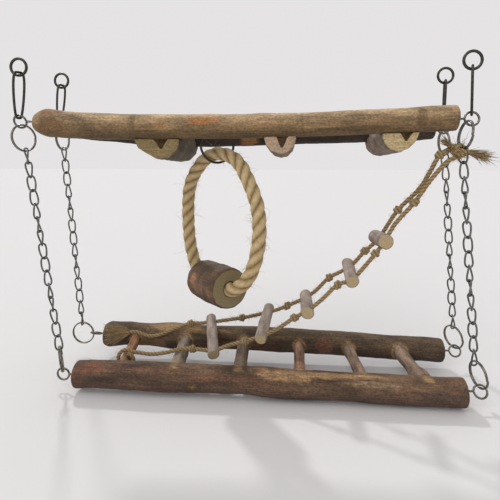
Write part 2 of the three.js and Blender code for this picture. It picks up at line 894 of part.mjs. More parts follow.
// The upper frame: two rails, and three logs that the rails are let into.
logRadii.forEach((radius, i) => {
  const x = rails.upperFront.x + logPlaceShares[i] * upperFrontLength;
  const z = -logSinkShares[i] * upperRailRadius;
  const front = frontY - logOverhang;
  const rear = rearY + logOverhang;
  const rows = [front, rear].map((y) =>
    logOutlineShares[i].map((share, k) => {
      const angle = (fullTurn * k) / logOutlineShares[i].length;
      const sink = (logTilt * (y - front)) / (rear - front);
      return new THREE.Vector3(x + radius * share * Math.cos(angle), y, z - sink + radius * share * Math.sin(angle));
    }),
  );
  let log = skin(rows, false);
  // A saddle for each rail, open to the top and to the log's end
  for (const rail of [rails.upperFront, rails.upperRear]) {
    const seat = branch(rail.stations, railSides, upperRailRadius * barkSwellShare, seatGap);
    const height = railHeight(rail, x);
    const room = upperRailRadius * saddleRoomShare;
    const slot = solidOf(new THREE.BoxGeometry(4 * radius, 2 * room, 2 * radius)).translate([
      x,
      rail.stations[0].centre.y,
      height + radius,
    ]);
    log = log.subtract(seat).subtract(slot);
  }
  // A notch in the front end, narrowing downwards
  const underside = railHeight(rails.upperFront, x) - upperRailRadius;
  const mouth = new THREE.Shape([
    new THREE.Vector2(x + radius * grooveOffsetShares[i] - grooveWidths[i] / 2, underside + cutOverrun),
    new THREE.Vector2(x + radius * grooveOffsetShares[i], underside - grooveDrops[i]),
    new THREE.Vector2(x + radius * grooveOffsetShares[i] + grooveWidths[i] / 2, underside + cutOverrun),
    new THREE.Vector2(x + radius * grooveOffsetShares[i] + grooveWidths[i] / 2, underside + upperRailRadius),
    new THREE.Vector2(x + radius * grooveOffsetShares[i] - grooveWidths[i] / 2, underside + upperRailRadius),
  ]);
  const notch = moved(
    solidOf(new THREE.ExtrudeGeometry(mouth, { depth: grooveDepth + cutOverrun, bevelEnabled: false })),
    new THREE.Matrix4().makeRotationX(quarterTurn).premultiply(
      new THREE.Matrix4().makeTranslation(0, front + grooveDepth, 0),
    ),
  );
  log = log.subtract(notch);
  addPiece(upperFrame, "cross_log_" + (i + 1), largest(log), logWood);
});

// The swing's screw eye, in the inner side of the upper front rail
const swingX = rails.upperFront.x + swingShare * upperFrontLength;
const swingEyeCentre = new THREE.Vector3(swingX, frontY + upperRailRadius + swingReach, swingRiseShare * eyeOuter);
const swingEyeShank = rod(
  swingEyeCentre.clone().add(new THREE.Vector3(0, -eyeMid, 0)),
  swingEyeCentre.clone().add(new THREE.Vector3(0, -swingReach - eyeShankDepth, 0)),
  eyeWire / 2,
  6,
);
const swingEyeLoop = moved(
  torus(eyeMid, eyeWire / 2, 6, 14),
  placed(swingEyeCentre, new THREE.Euler(0, quarterTurn, 0)),
);
addPiece(upperFrame, "swing_eye", swingEyeLoop.add(swingEyeShank), ringSteel);
holes.upperFront.push(
  rod(
    swingEyeCentre.clone().add(new THREE.Vector3(0, -swingReach + cutOverrun, 0)),
    swingEyeCentre.clone().add(new THREE.Vector3(0, -swingReach - eyeShankDepth - seatGap, 0)),
    eyeWire / 2 + seatGap,
    8,
  ),
);

// The deck's rungs, seated in blind holes in its rails
const deckRungs = rungRadii.map((radius, i) => {
  const frontX = rails.deckFront.x + rungFrontShares[i] * deckFrontLength;
  const backX = rails.deckRear.x + rungRearShares[i] * deckRearLength;
  const from = new THREE.Vector3(frontX, frontY, railHeight(rails.deckFront, frontX) + rungFrontRise);
  const to = new THREE.Vector3(backX, rearY, railHeight(rails.deckRear, backX) + rungRearRise);
  const along = to.clone().sub(from).normalize();
  const start = from.clone().addScaledVector(along, deckRailRadius - rungSeatDepth);
  const end = to.clone().addScaledVector(along, rungSeatDepth - deckRailRadius);
  const last = i === rungRadii.length - 1;
  const at = (share) => start.clone().lerp(end, share);
  const sizeAt = rungSizeShares.map(([share, size, foot]) => ({
    centre: at(share),
    radius: radius * (last ? foot : size),
  }));
  return { from, to, along, start, end, radius, stations: sizeAt };
});
deckRungs.forEach((rung, i) => {
  addPiece(deck, "deck_rung_" + (i + 1), branch(rung.stations, 8, 0), rungBark);
  const reach = rung.stations.map((station, k) => ({
    centre: station.centre
      .clone()
      .addScaledVector(rung.along, k === 0 ? -seatGap : k === rung.stations.length - 1 ? seatGap : 0),
    radius: station.radius,
  }));
  const hole = branch(reach, 8, 0, seatGap);
  holes.deckFront.push(hole);
  holes.deckRear.push(hole);
});

const railPieces = [
  ["upper_front_rail", "upperFront", upperFrame, lightBark, upperRailRadius],
  ["upper_rear_rail", "upperRear", upperFrame, darkBark, upperRailRadius],
  ["deck_front_rail", "deckFront", deck, rungBark, deckRailRadius],
  ["deck_rear_rail", "deckRear", deck, rungBark, deckRailRadius],
];
for (const [name, key, group, material, radius] of railPieces) {
  const whole = branch(rails[key].stations, railSides, radius * barkSwellShare);
  const drilled = holes[key].reduce((rest, hole) => rest.subtract(hole), whole);
  addPiece(group, name, largest(drilled), material);
}

// The swing: a metal ring in its eye, a rope ring on the metal ring, and a perch log on the rope
const swingRingMid = (swingRingOuter - swingRingWire) / 2;
const swingContactZ = upperZ + swingEyeCentre.z - eyeMid + (eyeWire + swingRingWire) / 2 + wireGap;
const swingRingCentre = new THREE.Vector3(swingX, swingEyeCentre.y, swingContactZ - swingRingMid);
const swingRing = addPiece(
  bridge,
  "swing_ring",
  moved(
    torus(swingRingMid, swingRingWire / 2, 6, 24),
    placed(new THREE.Vector3(), new THREE.Euler(quarterTurn, 0, 0)),
  ),
  darkWire,
);
swingRing.position.copy(swingRingCentre);
swingRing.rotation.z = swingRingTurn;

// The rope ring's route from the swing ring's foot: right, back and down, as hand-placed points
const ropeCrown = swingRingCentre
  .clone()
  .add(new THREE.Vector3(0, 0, -swingRingMid + swingRingWire / 2 + swingRopeRadius + wireGap));
const routeEnds = [swingRopeRoute[0], swingRopeRoute[swingRopeRoute.length - 1]].map((p) => new THREE.Vector3(...p));
const perchAlong = routeEnds[1].clone().sub(routeEnds[0]).normalize();
const ropeSpread = (perchLength - 2 * ropeEndDepth - routeEnds[0].distanceTo(routeEnds[1])) / 2;
// The loop widens evenly towards its foot, so that its ends reach into a longer or shorter log
const crownIndex = swingRopeRoute.findIndex(([, , z]) => z === 0);
const ropePoints = swingRopeRoute.map(([x, y, z], i) =>
  new THREE.Vector3(x, y, z)
    .addScaledVector(perchAlong, (Math.sign(i - crownIndex) * ropeSpread * z) / routeEnds[1].z)
    .add(ropeCrown),
);
const ropeCurve = new THREE.CatmullRomCurve3(ropePoints, false, "centripetal");
const ropeRing = tube(ropeCurve, swingRopeRadius, 44, 9);
addPiece(bridge, "rope_ring", ropeRing, sisal);
const perchFrom = ropePoints[0];
const perchTo = ropePoints[ropePoints.length - 1];
const perchCentre = perchFrom.clone().add(perchTo).multiplyScalar(0.5);
const perchStations = perchSizeShares.map(([place, size]) => ({
  centre: perchCentre.clone().addScaledVector(perchAlong, place * perchLength),
  radius: size * perchRadius,
}));
const perchWood = branch(perchStations, 14, perchRadius * barkSwellShare);
const perchBore = (side) =>
  rod(
    perchCentre.clone().addScaledVector(perchAlong, side * (perchLength / 2 + cutOverrun)),
    perchCentre.clone().addScaledVector(perchAlong, side * (perchLength / 2 - ropeEndDepth - seatGap)),
    swingRopeRadius + boreGap,
    16,
  );
addPiece(bridge, "perch_log", perchWood.subtract(perchBore(-1)).subtract(perchBore(1)), perchBark);

// The rope ladder. Its top hangs from the top knot, and the points below share the top's place by
// their height down to the deck. The front rope's lash goes with the deck's first rung.
const gripped = hardware.front_right;
const knotCentre = gripped.upperRingFoot
  .clone()
  .add(new THREE.Vector3(-0.28, 0.1, -0.15).multiplyScalar(topKnotRadius));
function ladderPoints(route, anchor) {
  const points = route.map(([x, y, z]) => new THREE.Vector3(x, y, z + deckZ));
  const topZ = points[0].z;
  const pull = knotCentre.clone().add(new THREE.Vector3(...anchor)).sub(points[0]);
  const footZ = deckZ + ladderFootHeight;
  for (const point of points) {
    point.addScaledVector(pull, THREE.MathUtils.clamp((point.z - footZ) / (topZ - footZ), 0, 1));
  }
  return points;
}
const ladderFront = ladderPoints(ladderFrontRoute, ladderFrontAnchor);
const ladderRear = ladderPoints(ladderRearRoute, ladderRearAnchor);
const lashEnd = ladderFront[ladderFront.length - 1];
const lashed = deckRungs[0].from.clone().setZ(deckRungs[0].from.z + deckZ);
lashed.addScaledVector(deckRungs[0].along, (lashEnd.y - lashed.y) / deckRungs[0].along.y);
const lashPull = lashed.add(new THREE.Vector3(...lashAnchor)).sub(lashEnd);
ladderFront.forEach((point, i) => {
  point.addScaledVector(lashPull, THREE.MathUtils.smoothstep(i, lashFadeFrom, lashFadeTo));
});

function ladderRope(points, knots, growth) {
  const curve = new THREE.CatmullRomCurve3(points, false, "centripetal");
  const last = points.length - 1;
  const stops = new Map();
  for (let i = 0; i < 2 * last + 1; i++) stops.set(i / 2, ladderRopeRadius);
  for (const i of knots) {
    for (const [shift, share] of knotSwellShares) {
      stops.set(i + shift, THREE.MathUtils.lerp(ladderRopeRadius, ladderKnotRadius, share));
    }
  }
  const places = [...stops.keys()].sort((a, b) => a - b);
  let across = new THREE.Vector3(0, 1, 0);
  const rows = places.map((place) => {
    const centre = curve.getPoint(place / last);
    const along = curve.getTangent(place / last);
    across = across.clone().addScaledVector(along, -across.dot(along)).normalize();
    const above = new THREE.Vector3().crossVectors(along, across);
    const radius = stops.get(place) + growth;
    return Array.from({ length: ladderRopeSides }, (_, k) => {
      const angle = (fullTurn * k) / ladderRopeSides;
      return centre
        .clone()
        .addScaledVector(across, radius * Math.cos(angle))
        .addScaledVector(above, radius * Math.sin(angle));
    });
  });
  return skin(rows, false);
}
const ropeRoom = ladderRope(ladderFront, [], seatGap).add(ladderRope(ladderRear, [], seatGap));
ladderRungRadii.forEach((radius, i) => {
  const front = ladderFront[ladderFrontHoles[i]];
  const rear = ladderRear[ladderRearHoles[i]];
  const along = rear.clone().sub(front).normalize();
  const from = front.clone().addScaledVector(along, -ladderRungFrontOverhangs[i]);
  const to = rear.clone().addScaledVector(along, ladderRungRearOverhangs[i]);
  const stations = [0, 0.5, 1].map((share) => ({
    centre: from.clone().lerp(to, share),
    radius: radius * (1 - ladderRungTaperShare * share),
  }));
  addPiece(bridge, "ladder_rung_" + (i + 1), branch(stations, 9, 0).subtract(ropeRoom), twig);
});

// The top knot grips the front right split ring, and its frayed ends stand out from it.
const knotBody = solidOf(new THREE.IcosahedronGeometry(topKnotRadius, 1)).scale([1.12, 0.85, 0.85]);
function frayedEnd(length, direction) {
  const along = new THREE.Vector3(...direction).normalize();
  const stations = [0, 0.5, 1].map((share) => ({
    centre: knotCentre.clone().addScaledVector(along, share * (length + topKnotRadius)),
    radius: ladderRopeRadius * (1 + 0.7 * share * share),
  }));
  return branch(stations, 6, 0);
}
const ringRoom = moved(
  torus(splitRingMid, splitRingTurnWidth + wireGap, 8, 24),
  new THREE.Matrix4()
    .makeRotationFromQuaternion(gripped.upperRingLean)
    .multiply(new THREE.Matrix4().makeRotationX(quarterTurn))
    .setPosition(gripped.upperRingCentre),
);
const topKnot = joined([
  knotBody.translate(knotCentre.toArray()),
  frayedEnd(ladderTails[0], [-0.85, -0.3, 0.42]),
  frayedEnd(ladderTails[1], [0.95, -0.05, -0.3]),
  frayedEnd(ladderTails[2], [-0.1, -0.3, -0.95]),
])
  .subtract(ringRoom)
  .subtract(gripped.chainRoom);
addPiece(bridge, "ladder_top_knot", largest(topKnot), jute);
const knotRoom = knotBody.scale([knotRoomShare, knotRoomShare, knotRoomShare]).translate(knotCentre.toArray());

// The rear rope ends in a broad frayed tassel against the deck's rear rail.
const ropeEnd = ladderRear[ladderRear.length - 1];
const tassel = skin(
  tasselShares.map(([place, height, thickness, drop]) => {
    const row = [];
    for (let k = 0; k < 8; k++) {
      const angle = (fullTurn * k) / 8;
      row.push(
        new THREE.Vector3(
          ropeEnd.x + ladderRopeRadius - place * tasselLength,
          ropeEnd.y + (thickness * tasselThickness * Math.cos(angle)) / 2,
          ropeEnd.z - drop * tasselHeight + (height * tasselHeight * Math.sin(angle)) / 2,
        ),
      );
    }
    return row;
  }),
  false,
);
const rearRope = ladderRope(ladderRear, ladderRearKnots, 0).add(tassel).subtract(knotRoom);
addPiece(bridge, "ladder_rope_rear", largest(rearRope), jute);
const frontRope = ladderRope(ladderFront, ladderFrontKnots, 0).subtract(knotRoom);
addPiece(bridge, "ladder_rope_front", largest(frontRope), jute);

export default bridge;
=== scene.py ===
import math
import random
import bpy
import bmesh
import numpy as np
from mathutils import Matrix, Quaternion, Vector, noise


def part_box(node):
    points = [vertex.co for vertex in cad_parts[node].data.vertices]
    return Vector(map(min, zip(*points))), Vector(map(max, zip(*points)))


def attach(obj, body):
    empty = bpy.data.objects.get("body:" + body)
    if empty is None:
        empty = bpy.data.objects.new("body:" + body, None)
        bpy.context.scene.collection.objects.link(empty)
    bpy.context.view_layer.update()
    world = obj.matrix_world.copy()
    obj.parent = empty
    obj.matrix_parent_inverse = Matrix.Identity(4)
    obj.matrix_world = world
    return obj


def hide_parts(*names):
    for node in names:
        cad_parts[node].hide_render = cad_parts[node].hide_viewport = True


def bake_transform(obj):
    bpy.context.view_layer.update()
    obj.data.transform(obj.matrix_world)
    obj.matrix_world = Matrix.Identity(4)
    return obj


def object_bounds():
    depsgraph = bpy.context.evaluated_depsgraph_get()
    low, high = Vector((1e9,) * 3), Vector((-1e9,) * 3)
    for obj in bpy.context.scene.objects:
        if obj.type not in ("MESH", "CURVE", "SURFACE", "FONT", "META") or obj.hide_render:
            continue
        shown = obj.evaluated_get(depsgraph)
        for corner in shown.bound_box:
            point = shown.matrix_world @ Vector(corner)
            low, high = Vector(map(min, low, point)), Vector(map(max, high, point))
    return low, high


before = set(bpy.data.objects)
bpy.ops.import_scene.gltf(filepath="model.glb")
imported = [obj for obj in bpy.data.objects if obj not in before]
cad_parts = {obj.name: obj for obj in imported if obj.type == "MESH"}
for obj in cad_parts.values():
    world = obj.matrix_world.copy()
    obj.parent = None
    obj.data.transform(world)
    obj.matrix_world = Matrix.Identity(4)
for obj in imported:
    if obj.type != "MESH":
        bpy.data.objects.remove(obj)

cad_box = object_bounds()

# The view: a low camera close in front of the bridge, level with the space between its frames. A
# pale floor lies just under the deck. A soft lamp shines from the front left, and a sharper one
# from behind on the left lays the deck's shadow on the floor.
scene = bpy.context.scene
scene.view_settings.view_transform = "Standard"


def paint(red, green, blue):
    """A colour as it looks on screen, as linear light."""
    return tuple((c / 255) ** 2.2 for c in (red, green, blue))


def feed(tree, node, inputs):
    """Sets a node's inputs. Each is a value, or the output of another node that is led to it."""
    for socket, value in inputs.items():
        if isinstance(value, bpy.types.NodeSocket):
            tree.links.new(value, node.inputs[socket])
        else:
            node.inputs[socket].default_value = value


def shader_node(tree, kind, inputs, **settings):
    """A new shader node with its inputs and settings."""
    node = tree.nodes.new("ShaderNode" + kind)
    for setting, value in settings.items():
        setattr(node, setting, value)
    feed(tree, node, inputs)
    return node


camera_data = bpy.data.cameras.new("view")
camera_data.lens = 31.1
camera_data.sensor_width = 36
camera_data.shift_y = -0.0944
camera = bpy.data.objects.new("view", camera_data)
scene.collection.objects.link(camera)
camera.location = (0.0311, -0.3026, -0.0596)
camera.rotation_euler = (math.radians(90 - 6.6), 0, math.radians(4.81))
scene.camera = camera

backdrop = paint(228, 226, 227)
room_light = 0.62
world = bpy.data.worlds.new("room")
scene.world = world
world.use_nodes = True
tree = world.node_tree
ray = tree.nodes.new("ShaderNodeLightPath").outputs
mirrored = shader_node(
    tree, "Math", {0: ray["Is Glossy Ray"], 1: ray["Is Transmission Ray"]}, operation="MAXIMUM"
)
seen = shader_node(tree, "Math", {0: ray["Is Camera Ray"], 1: mirrored.outputs[0]}, operation="MAXIMUM")
lit = tree.nodes["Background"]
feed(tree, lit, {"Color": (1, 0.99, 0.98, 1), "Strength": room_light})
shown = shader_node(tree, "Background", {"Color": (*backdrop, 1), "Strength": 1})
mix = shader_node(tree, "MixShader", {0: seen.outputs[0], 1: lit.outputs[0], 2: shown.outputs[0]})
feed(tree, tree.nodes["World Output"], {"Surface": mix.outputs[0]})

for name, travels, power, softness in (
    ("key", (0.45, 0.8, -0.8), 0.85, 50),
    ("back", (0.5, -0.78, -1), 0.85, 4),
):
    lamp = bpy.data.lights.new(name, "SUN")
    lamp.energy = power
    lamp.angle = math.radians(softness)
    holder = bpy.data.objects.new(name, lamp)
    scene.collection.objects.link(holder)
    holder.rotation_euler = Vector(travels).to_track_quat("-Z", "Y").to_euler()

floor_z = cad_box[0][2] - 0.0008
floor_corners = [(x, y, floor_z) for x, y in ((-4, -4), (4, -4), (4, 4), (-4, 4))]
floor_mesh = bpy.data.meshes.new("floor")
floor_mesh.from_pydata(floor_corners, [], [(0, 1, 2, 3)])
floor = bpy.data.objects.new("floor", floor_mesh)
scene.collection.objects.link(floor)
floor_paint = bpy.data.materials.new("pale_floor")
floor_paint.use_nodes = True
tree = floor_paint.node_tree
feed(tree, tree.nodes["Principled BSDF"], {"Base Color": (0.8, 0.785, 0.79, 1), "Roughness": 0.9})
floor_mesh.materials.append(floor_paint)


# The rope ladder's two side ropes: thin hairy jute twine of three twisted strands. Each is knotted
# on both sides of every rung, tied to a ring above and led over the deck's rungs below, where the
# front one is lashed round the first rung and the rear one ends in a broad frayed tassel.
mm = 0.001
deck_z = -214.1
# Places are in millimetres, and a route's heights are over the middle of the deck's rails.
rear_route = [
    (130.8, -25.4, 156.9), (124.9, -27, 153.2), (120.5, -23.5, 142.5), (116, -20, 132.2),
    (104.2, -15, 117.3), (98.6, -9.5, 105.5), (94.6, -6, 96.5), (90.2, -4.5, 91.3), (86, -3, 87),
    (80.5, -0.5, 79.2), (75.9, 2, 73.6), (69, 3, 69.3), (62.3, 4, 65.1), (53.5, 7.2, 54.5),
    (46.4, 9.5, 48.2), (39.5, 11, 44), (32.9, 12, 40.5), (25, 15, 36), (17.9, 17, 33.2),
    (8, 18.5, 29.7), (-2, 20, 26.8), (-14, 21, 24.2), (-26.7, 21.5, 22), (-34.5, 21, 21),
    (-42.7, 20.3, 20.8), (-55.3, 18, 16.7), (-67, 14.9, 12.6), (-76.3, 15, 11.6), (-85, 15.5, 14),
    (-93.5, 14, 14.6),
]
rear_knots = [1, 4, 8, 12, 16, 20, 24]
front_route = [
    (133.6, -28.6, 151.7), (129.1, -29, 149.4), (120, -27.8, 138), (111.5, -24, 123),
    (100.8, -22, 109), (95.4, -19.3, 97.2), (89.7, -18.8, 88.6), (82, -18, 78.2), (75.4, -17.3, 70.4),
    (66.1, -17, 66.4), (56, -16.4, 56), (46.2, -15.2, 47), (37.7, -14.8, 41.9), (25.5, -13.2, 32.5),
    (14.6, -11.5, 26.2), (3, -11, 22), (-9.5, -9, 17.2), (-20.4, -7.8, 12.2), (-28, -7.3, 12.4),
    (-35.5, -7, 12.8), (-45, -8.3, 12.6), (-55, -9.2, 10.2), (-66, -9.2, 8.6), (-74.5, -9.4, 9.4),
    (-80.3, -9.6, 10.2), (-83.9, -10.1, 11.6), (-87.6, -10.5, 10.4), (-89.8, -11.0, 7.2),
    (-89.5, -11.4, 3.3), (-86.9, -11.9, 0.3), (-83.0, -12.4, -0.5), (-79.5, -12.8, 1.3),
    (-77.8, -13.3, 4.8), (-78.6, -13.7, 8.5), (-81.6, -14.2, 11.0),
]
front_knots = [3, 6, 9, 12, 15, 19]
twine_radius, jute_lay = 1.5, 8.5


def in_part(route):
    return [(x, y, z + deck_z) for x, y, z in route]


def smooth_run(points, step):
    """Evenly spaced points along the smooth curve through some points, where these lie, its length."""
    p = np.array(points, float)
    p = np.vstack([2 * p[0] - p[1], p, 2 * p[-1] - p[-2]])
    fine, marks = [], []
    for i in range(1, len(p) - 2):
        before, here, after = p[i] - p[i - 1], p[i + 1] - p[i], p[i + 2] - p[i + 1]
        a, b, c = (max(np.linalg.norm(v) ** 0.5, 1e-4) for v in (before, here, after))
        t1 = (before / a - (p[i + 1] - p[i - 1]) / (a + b) + here / b) * b
        t2 = (here / b - (p[i + 2] - p[i]) / (b + c) + after / c) * b
        marks.append(len(fine))
        for t in np.linspace(0, 1, 24, endpoint=False):
            fine.append(p[i] + t1 * t + (3 * here - 2 * t1 - t2) * t**2 + (-2 * here + t1 + t2) * t**3)
    marks.append(len(fine))
    fine.append(p[-2])
    fine = np.array(fine)
    run = np.concatenate([[0], np.cumsum(np.linalg.norm(np.diff(fine, axis=0), axis=1))])
    at = np.linspace(0, run[-1], max(2, round(run[-1] / step) + 1))
    line = np.stack([np.interp(at, run, fine[:, k]) for k in range(3)], axis=1)
    return line, run[marks], run[-1]


def carried_frames(line):
    """The way along a line at each point, and two square to it that are carried without twisting."""
    along = np.gradient(line, axis=0)
    along /= np.linalg.norm(along, axis=1)[:, None]
    first = np.cross(along[0], (0.3, 0.2, 1.0))
    across = [first / np.linalg.norm(first)]
    for t in along[1:]:
        v = across[-1] - t * np.dot(across[-1], t)
        across.append(v / np.linalg.norm(v))
    across = np.array(across)
    return along, across, np.cross(along, across)


def tube_rows(line, radii, angle):
    """Rows of points round a line, at radii that may differ from point to point."""
    _, across, above = carried_frames(line)
    round_it = across[:, None] * np.cos(angle)[:, None] + above[:, None] * np.sin(angle)[:, None]
    return line[:, None] + radii[..., None] * round_it


def round_rows(line, radii, sides):
    """Rows of a round tube along a line."""
    radii = np.broadcast_to(np.asarray(radii, float), (len(line),))[:, None]
    return tube_rows(line, radii, np.arange(sides) * 2 * np.pi / sides)


def laid_block(line, radii, lay, sides, groove):
    """A rope of three twisted strands along a line: its surface sinks in between the strands, and its
    shade, lowest in the grooves, becomes painted shade there.
    """
    strands = 3
    step = np.linalg.norm(line[1] - line[0])
    angle = np.arange(sides) * 2 * np.pi / sides
    turn = (np.arange(len(line)) * step * 2 * np.pi / lay)[:, None]
    crest = np.abs(np.cos(strands / 2 * (angle - turn))) ** 0.8
    radii = np.broadcast_to(np.asarray(radii, float), (len(line),))[:, None] * (1 - groove * (1 - crest))
    return tube_rows(line, radii, angle), False, crest


def hair_block(path, radii, shade, sides=3):
    """One loose hair."""
    return round_rows(np.array(path), radii, sides), False, shade


def fibre_blocks(chance, line, radius, count, length, thickness):
    """Loose hairs that stand out of a rope."""
    along, across, above = carried_frames(line)
    taper = [thickness, thickness * 0.9, thickness * 0.6, thickness * 0.2]
    blocks = []
    for _ in range(count):
        i = chance.randrange(len(line))
        a = chance.uniform(0, 2 * math.pi)
        out = across[i] * math.cos(a) + above[i] * math.sin(a)
        way = out * chance.uniform(0.3, 1) + along[i] * chance.choice((-1, 1)) * chance.uniform(0.3, 1.2)
        way /= np.linalg.norm(way)
        bend = np.array([chance.gauss(0, 0.45) for _ in range(3)])
        size = length * chance.uniform(0.4, 1.3)
        start = line[i] + out * radius * 0.75
        path = [start + size * (t * way + t * t * bend * 0.6) for t in (0, 0.35, 0.7, 1)]
        blocks.append(hair_block(path, taper, chance.uniform(0.55, 1)))
    return blocks


def mesh_piece(name, points, faces, around, finishes):
    """An object from points in millimetres and faces, with a UV place for each corner of a face."""
    mesh = bpy.data.meshes.new(name)
    mesh.from_pydata((np.array(points) * mm).tolist(), [], faces)
    mesh.uv_layers.new(name="UVMap").data.foreach_set("uv", np.array(around, float).reshape(-1))
    work = bmesh.new()
    work.from_mesh(mesh)
    bmesh.ops.recalc_face_normals(work, faces=work.faces)
    work.to_mesh(mesh)
    work.free()
    for finish in finishes:
        mesh.materials.append(finish)
    piece = bpy.data.objects.new(name, mesh)
    scene.collection.objects.link(piece)
    return piece


def skinned(name, blocks, finish):
    """A piece of one or more tubes. A block is rows of points, whether they close, and their shade."""
    points, faces, shades, around = [], [], [], []
    for rows, closed, shade in blocks:
        count, sides = rows.shape[:2]
        start = len(points)
        points.extend(rows.reshape(-1, 3).tolist())
        shades.extend(np.broadcast_to(shade, (count, sides)).reshape(-1).tolist())
        run = np.concatenate([[0], np.cumsum(np.linalg.norm(np.diff(rows.mean(axis=1), axis=0), axis=1))])
        for i in range(count if closed else count - 1):
            j = (i + 1) % count
            from_here, to_next = run[i], run[i] + (run[1] - run[0]) if j == 0 else run[j]
            one, two = start + i * sides, start + j * sides
            for k in range(sides):
                m = (k + 1) % sides
                faces.append((one + k, one + m, two + m, two + k))
                low, high = k / sides, (k + 1) / sides
                around.extend([(from_here, low), (from_here, high), (to_next, high), (to_next, low)])
        if not closed:
            for i, order in ((0, -1), (count - 1, 1)):
                faces.append(tuple(start + i * sides + k for k in range(sides))[::order])
                around.extend([(run[i], k / sides) for k in range(sides)])
    piece = mesh_piece(name, points, faces, around, [finish])
    shade_layer = piece.data.attributes.new("shade", "FLOAT", "POINT")
    shade_layer.data.foreach_set("value", np.array(shades, np.float32))
    piece.data.polygons.foreach_set("use_smooth", [True] * len(faces))
    return piece


def colour_ramp(tree, level, stops):
    """The colour that belongs to a level, from stops of (level, colour)."""
    ramp = shader_node(tree, "ValToRGB", {0: level})
    elements = ramp.color_ramp.elements
    for element, (place, colour) in zip(elements, (stops[0], stops[-1])):
        element.position = place
        element.color = (*colour, 1)
    for place, colour in stops[1:-1]:
        elements.new(place).color = (*colour, 1)
    return ramp.outputs[0]


def surface(tree, colour, roughness, height, strength, depth):
    """Gives a material's shader its colour, its roughness and a relief, and returns the shader."""
    relief = shader_node(tree, "Bump", {"Height": height, "Strength": strength, "Distance": depth})
    skin = tree.nodes["Principled BSDF"]
    feed(tree, skin, {"Base Color": colour, "Roughness": roughness, "Normal": relief.outputs[0]})
    return skin


def rope_finish(name, light, middle, dark, grain, sheen):
    """Plant fibre: fine lines along the strands, with painted shade darkening the grooves between them."""
    made = bpy.data.materials.new(name)
    made.use_nodes = True
    tree = made.node_tree
    place = tree.nodes.new("ShaderNodeUVMap").outputs[0]
    stretch = shader_node(tree, "Mapping", {"Vector": place, "Scale": (grain * 0.12, grain * 6, 1)})
    yarn = shader_node(
        tree, "TexNoise", {"Vector": stretch.outputs[0], "Scale": 1, "Detail": 5, "Roughness": 0.65}
    ).outputs[0]
    shade = shader_node(tree, "Attribute", {}, attribute_name="shade").outputs["Fac"]
    # The shade attribute: painted shade in a rope's grooves, and a random tone on loose hairs.
    lift = shader_node(tree, "Math", {0: shade, 1: 0.62, 2: -0.26}, operation="MULTIPLY_ADD")
    level = shader_node(tree, "Math", {0: yarn, 1: 0.75, 2: lift.outputs[0]}, operation="MULTIPLY_ADD")
    colour = colour_ramp(tree, level.outputs[0], [(0.12, dark), (0.5, middle), (0.85, light)])
    skin = surface(tree, colour, 0.85, yarn, 0.6, 0.0004)
    skin.inputs["Sheen Weight"].default_value = sheen
    return made


def side_knot(chance, line, frames, i):
    """A knot of twine: a short tight coil round the rope, a little askew."""
    along, across, above = (f[i] for f in frames)
    t = np.linspace(0, 1, 40)[:, None]
    angle = 2 * np.pi * 1.75 * t + chance.uniform(0, 6)
    lean = along + 0.25 * across * chance.uniform(-1, 1)
    lean /= np.linalg.norm(lean)
    reach = 1.75 - 0.5 * np.abs(t - 0.5)
    coil = line[i] + lean * (t - 0.5) * 3.4 + (across * np.cos(angle) + above * np.sin(angle)) * reach
    return laid_block(coil, 1.35, jute_lay, 12, 0.2)


def tassel_blocks(chance, tip):
    """The rope's end combed out to the left in a broad fan of hairs that droops a little."""
    blocks = []
    for _ in range(150):
        rise, out = chance.uniform(-1, 1), chance.gauss(0, 0.45)
        reach = 21 * chance.uniform(0.55, 1.05)
        path = []
        for t in (0, 0.2, 0.4, 0.6, 0.8, 1):
            fan = np.array((3 - t * reach, out * (0.8 + 1.2 * t), rise * (1.2 + 7 * t**0.8) - 3.2 * t * t))
            path.append(tip + fan + np.array([chance.gauss(0, 0.35) * t for _ in range(3)]))
        blocks.append(hair_block(path, [0.32, 0.3, 0.26, 0.22, 0.16, 0.05], chance.uniform(0.4, 1), 4))
    return blocks


jute = rope_finish("jute_twine", paint(172, 148, 106), paint(136, 112, 76), paint(88, 70, 44), 1.6, 0.1)
for name, route, knots, seed in (
    ("front", front_route, front_knots, 3),
    ("rear", rear_route, rear_knots, 4),
):
    chance = random.Random(seed)
    line, marks, length = smooth_run(in_part(route), 0.6)
    frames = carried_frames(line)
    knot_places = [min(len(line) - 2, round(marks[k] / length * (len(line) - 1))) for k in knots]
    blocks = [side_knot(chance, line, frames, i) for i in knot_places]
    blocks += fibre_blocks(chance, line, twine_radius, 620, 3.2, 0.08)
    if name == "rear":
        blocks += tassel_blocks(chance, np.array(in_part(route)[-1]))
    twine = skinned("ladder_twine_" + name, [laid_block(line, twine_radius * 0.96, jute_lay, 15, 0.18)], jute)
    knotted = skinned("ladder_knots_" + name, blocks, jute)
    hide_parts("ladder_rope_" + name)
    for piece in (twine, knotted):
        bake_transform(piece)


# The knot at the ladder's head: both twines are hitched round the front right upper split ring,
# and their cut ends stand out on both sides, combed loose at the tips.
def centre_of(node):
    """The middle of a node's box, in millimetres."""
    low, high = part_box(node)
    return np.array([(a + b) * 500 for a, b in zip(low, high)])


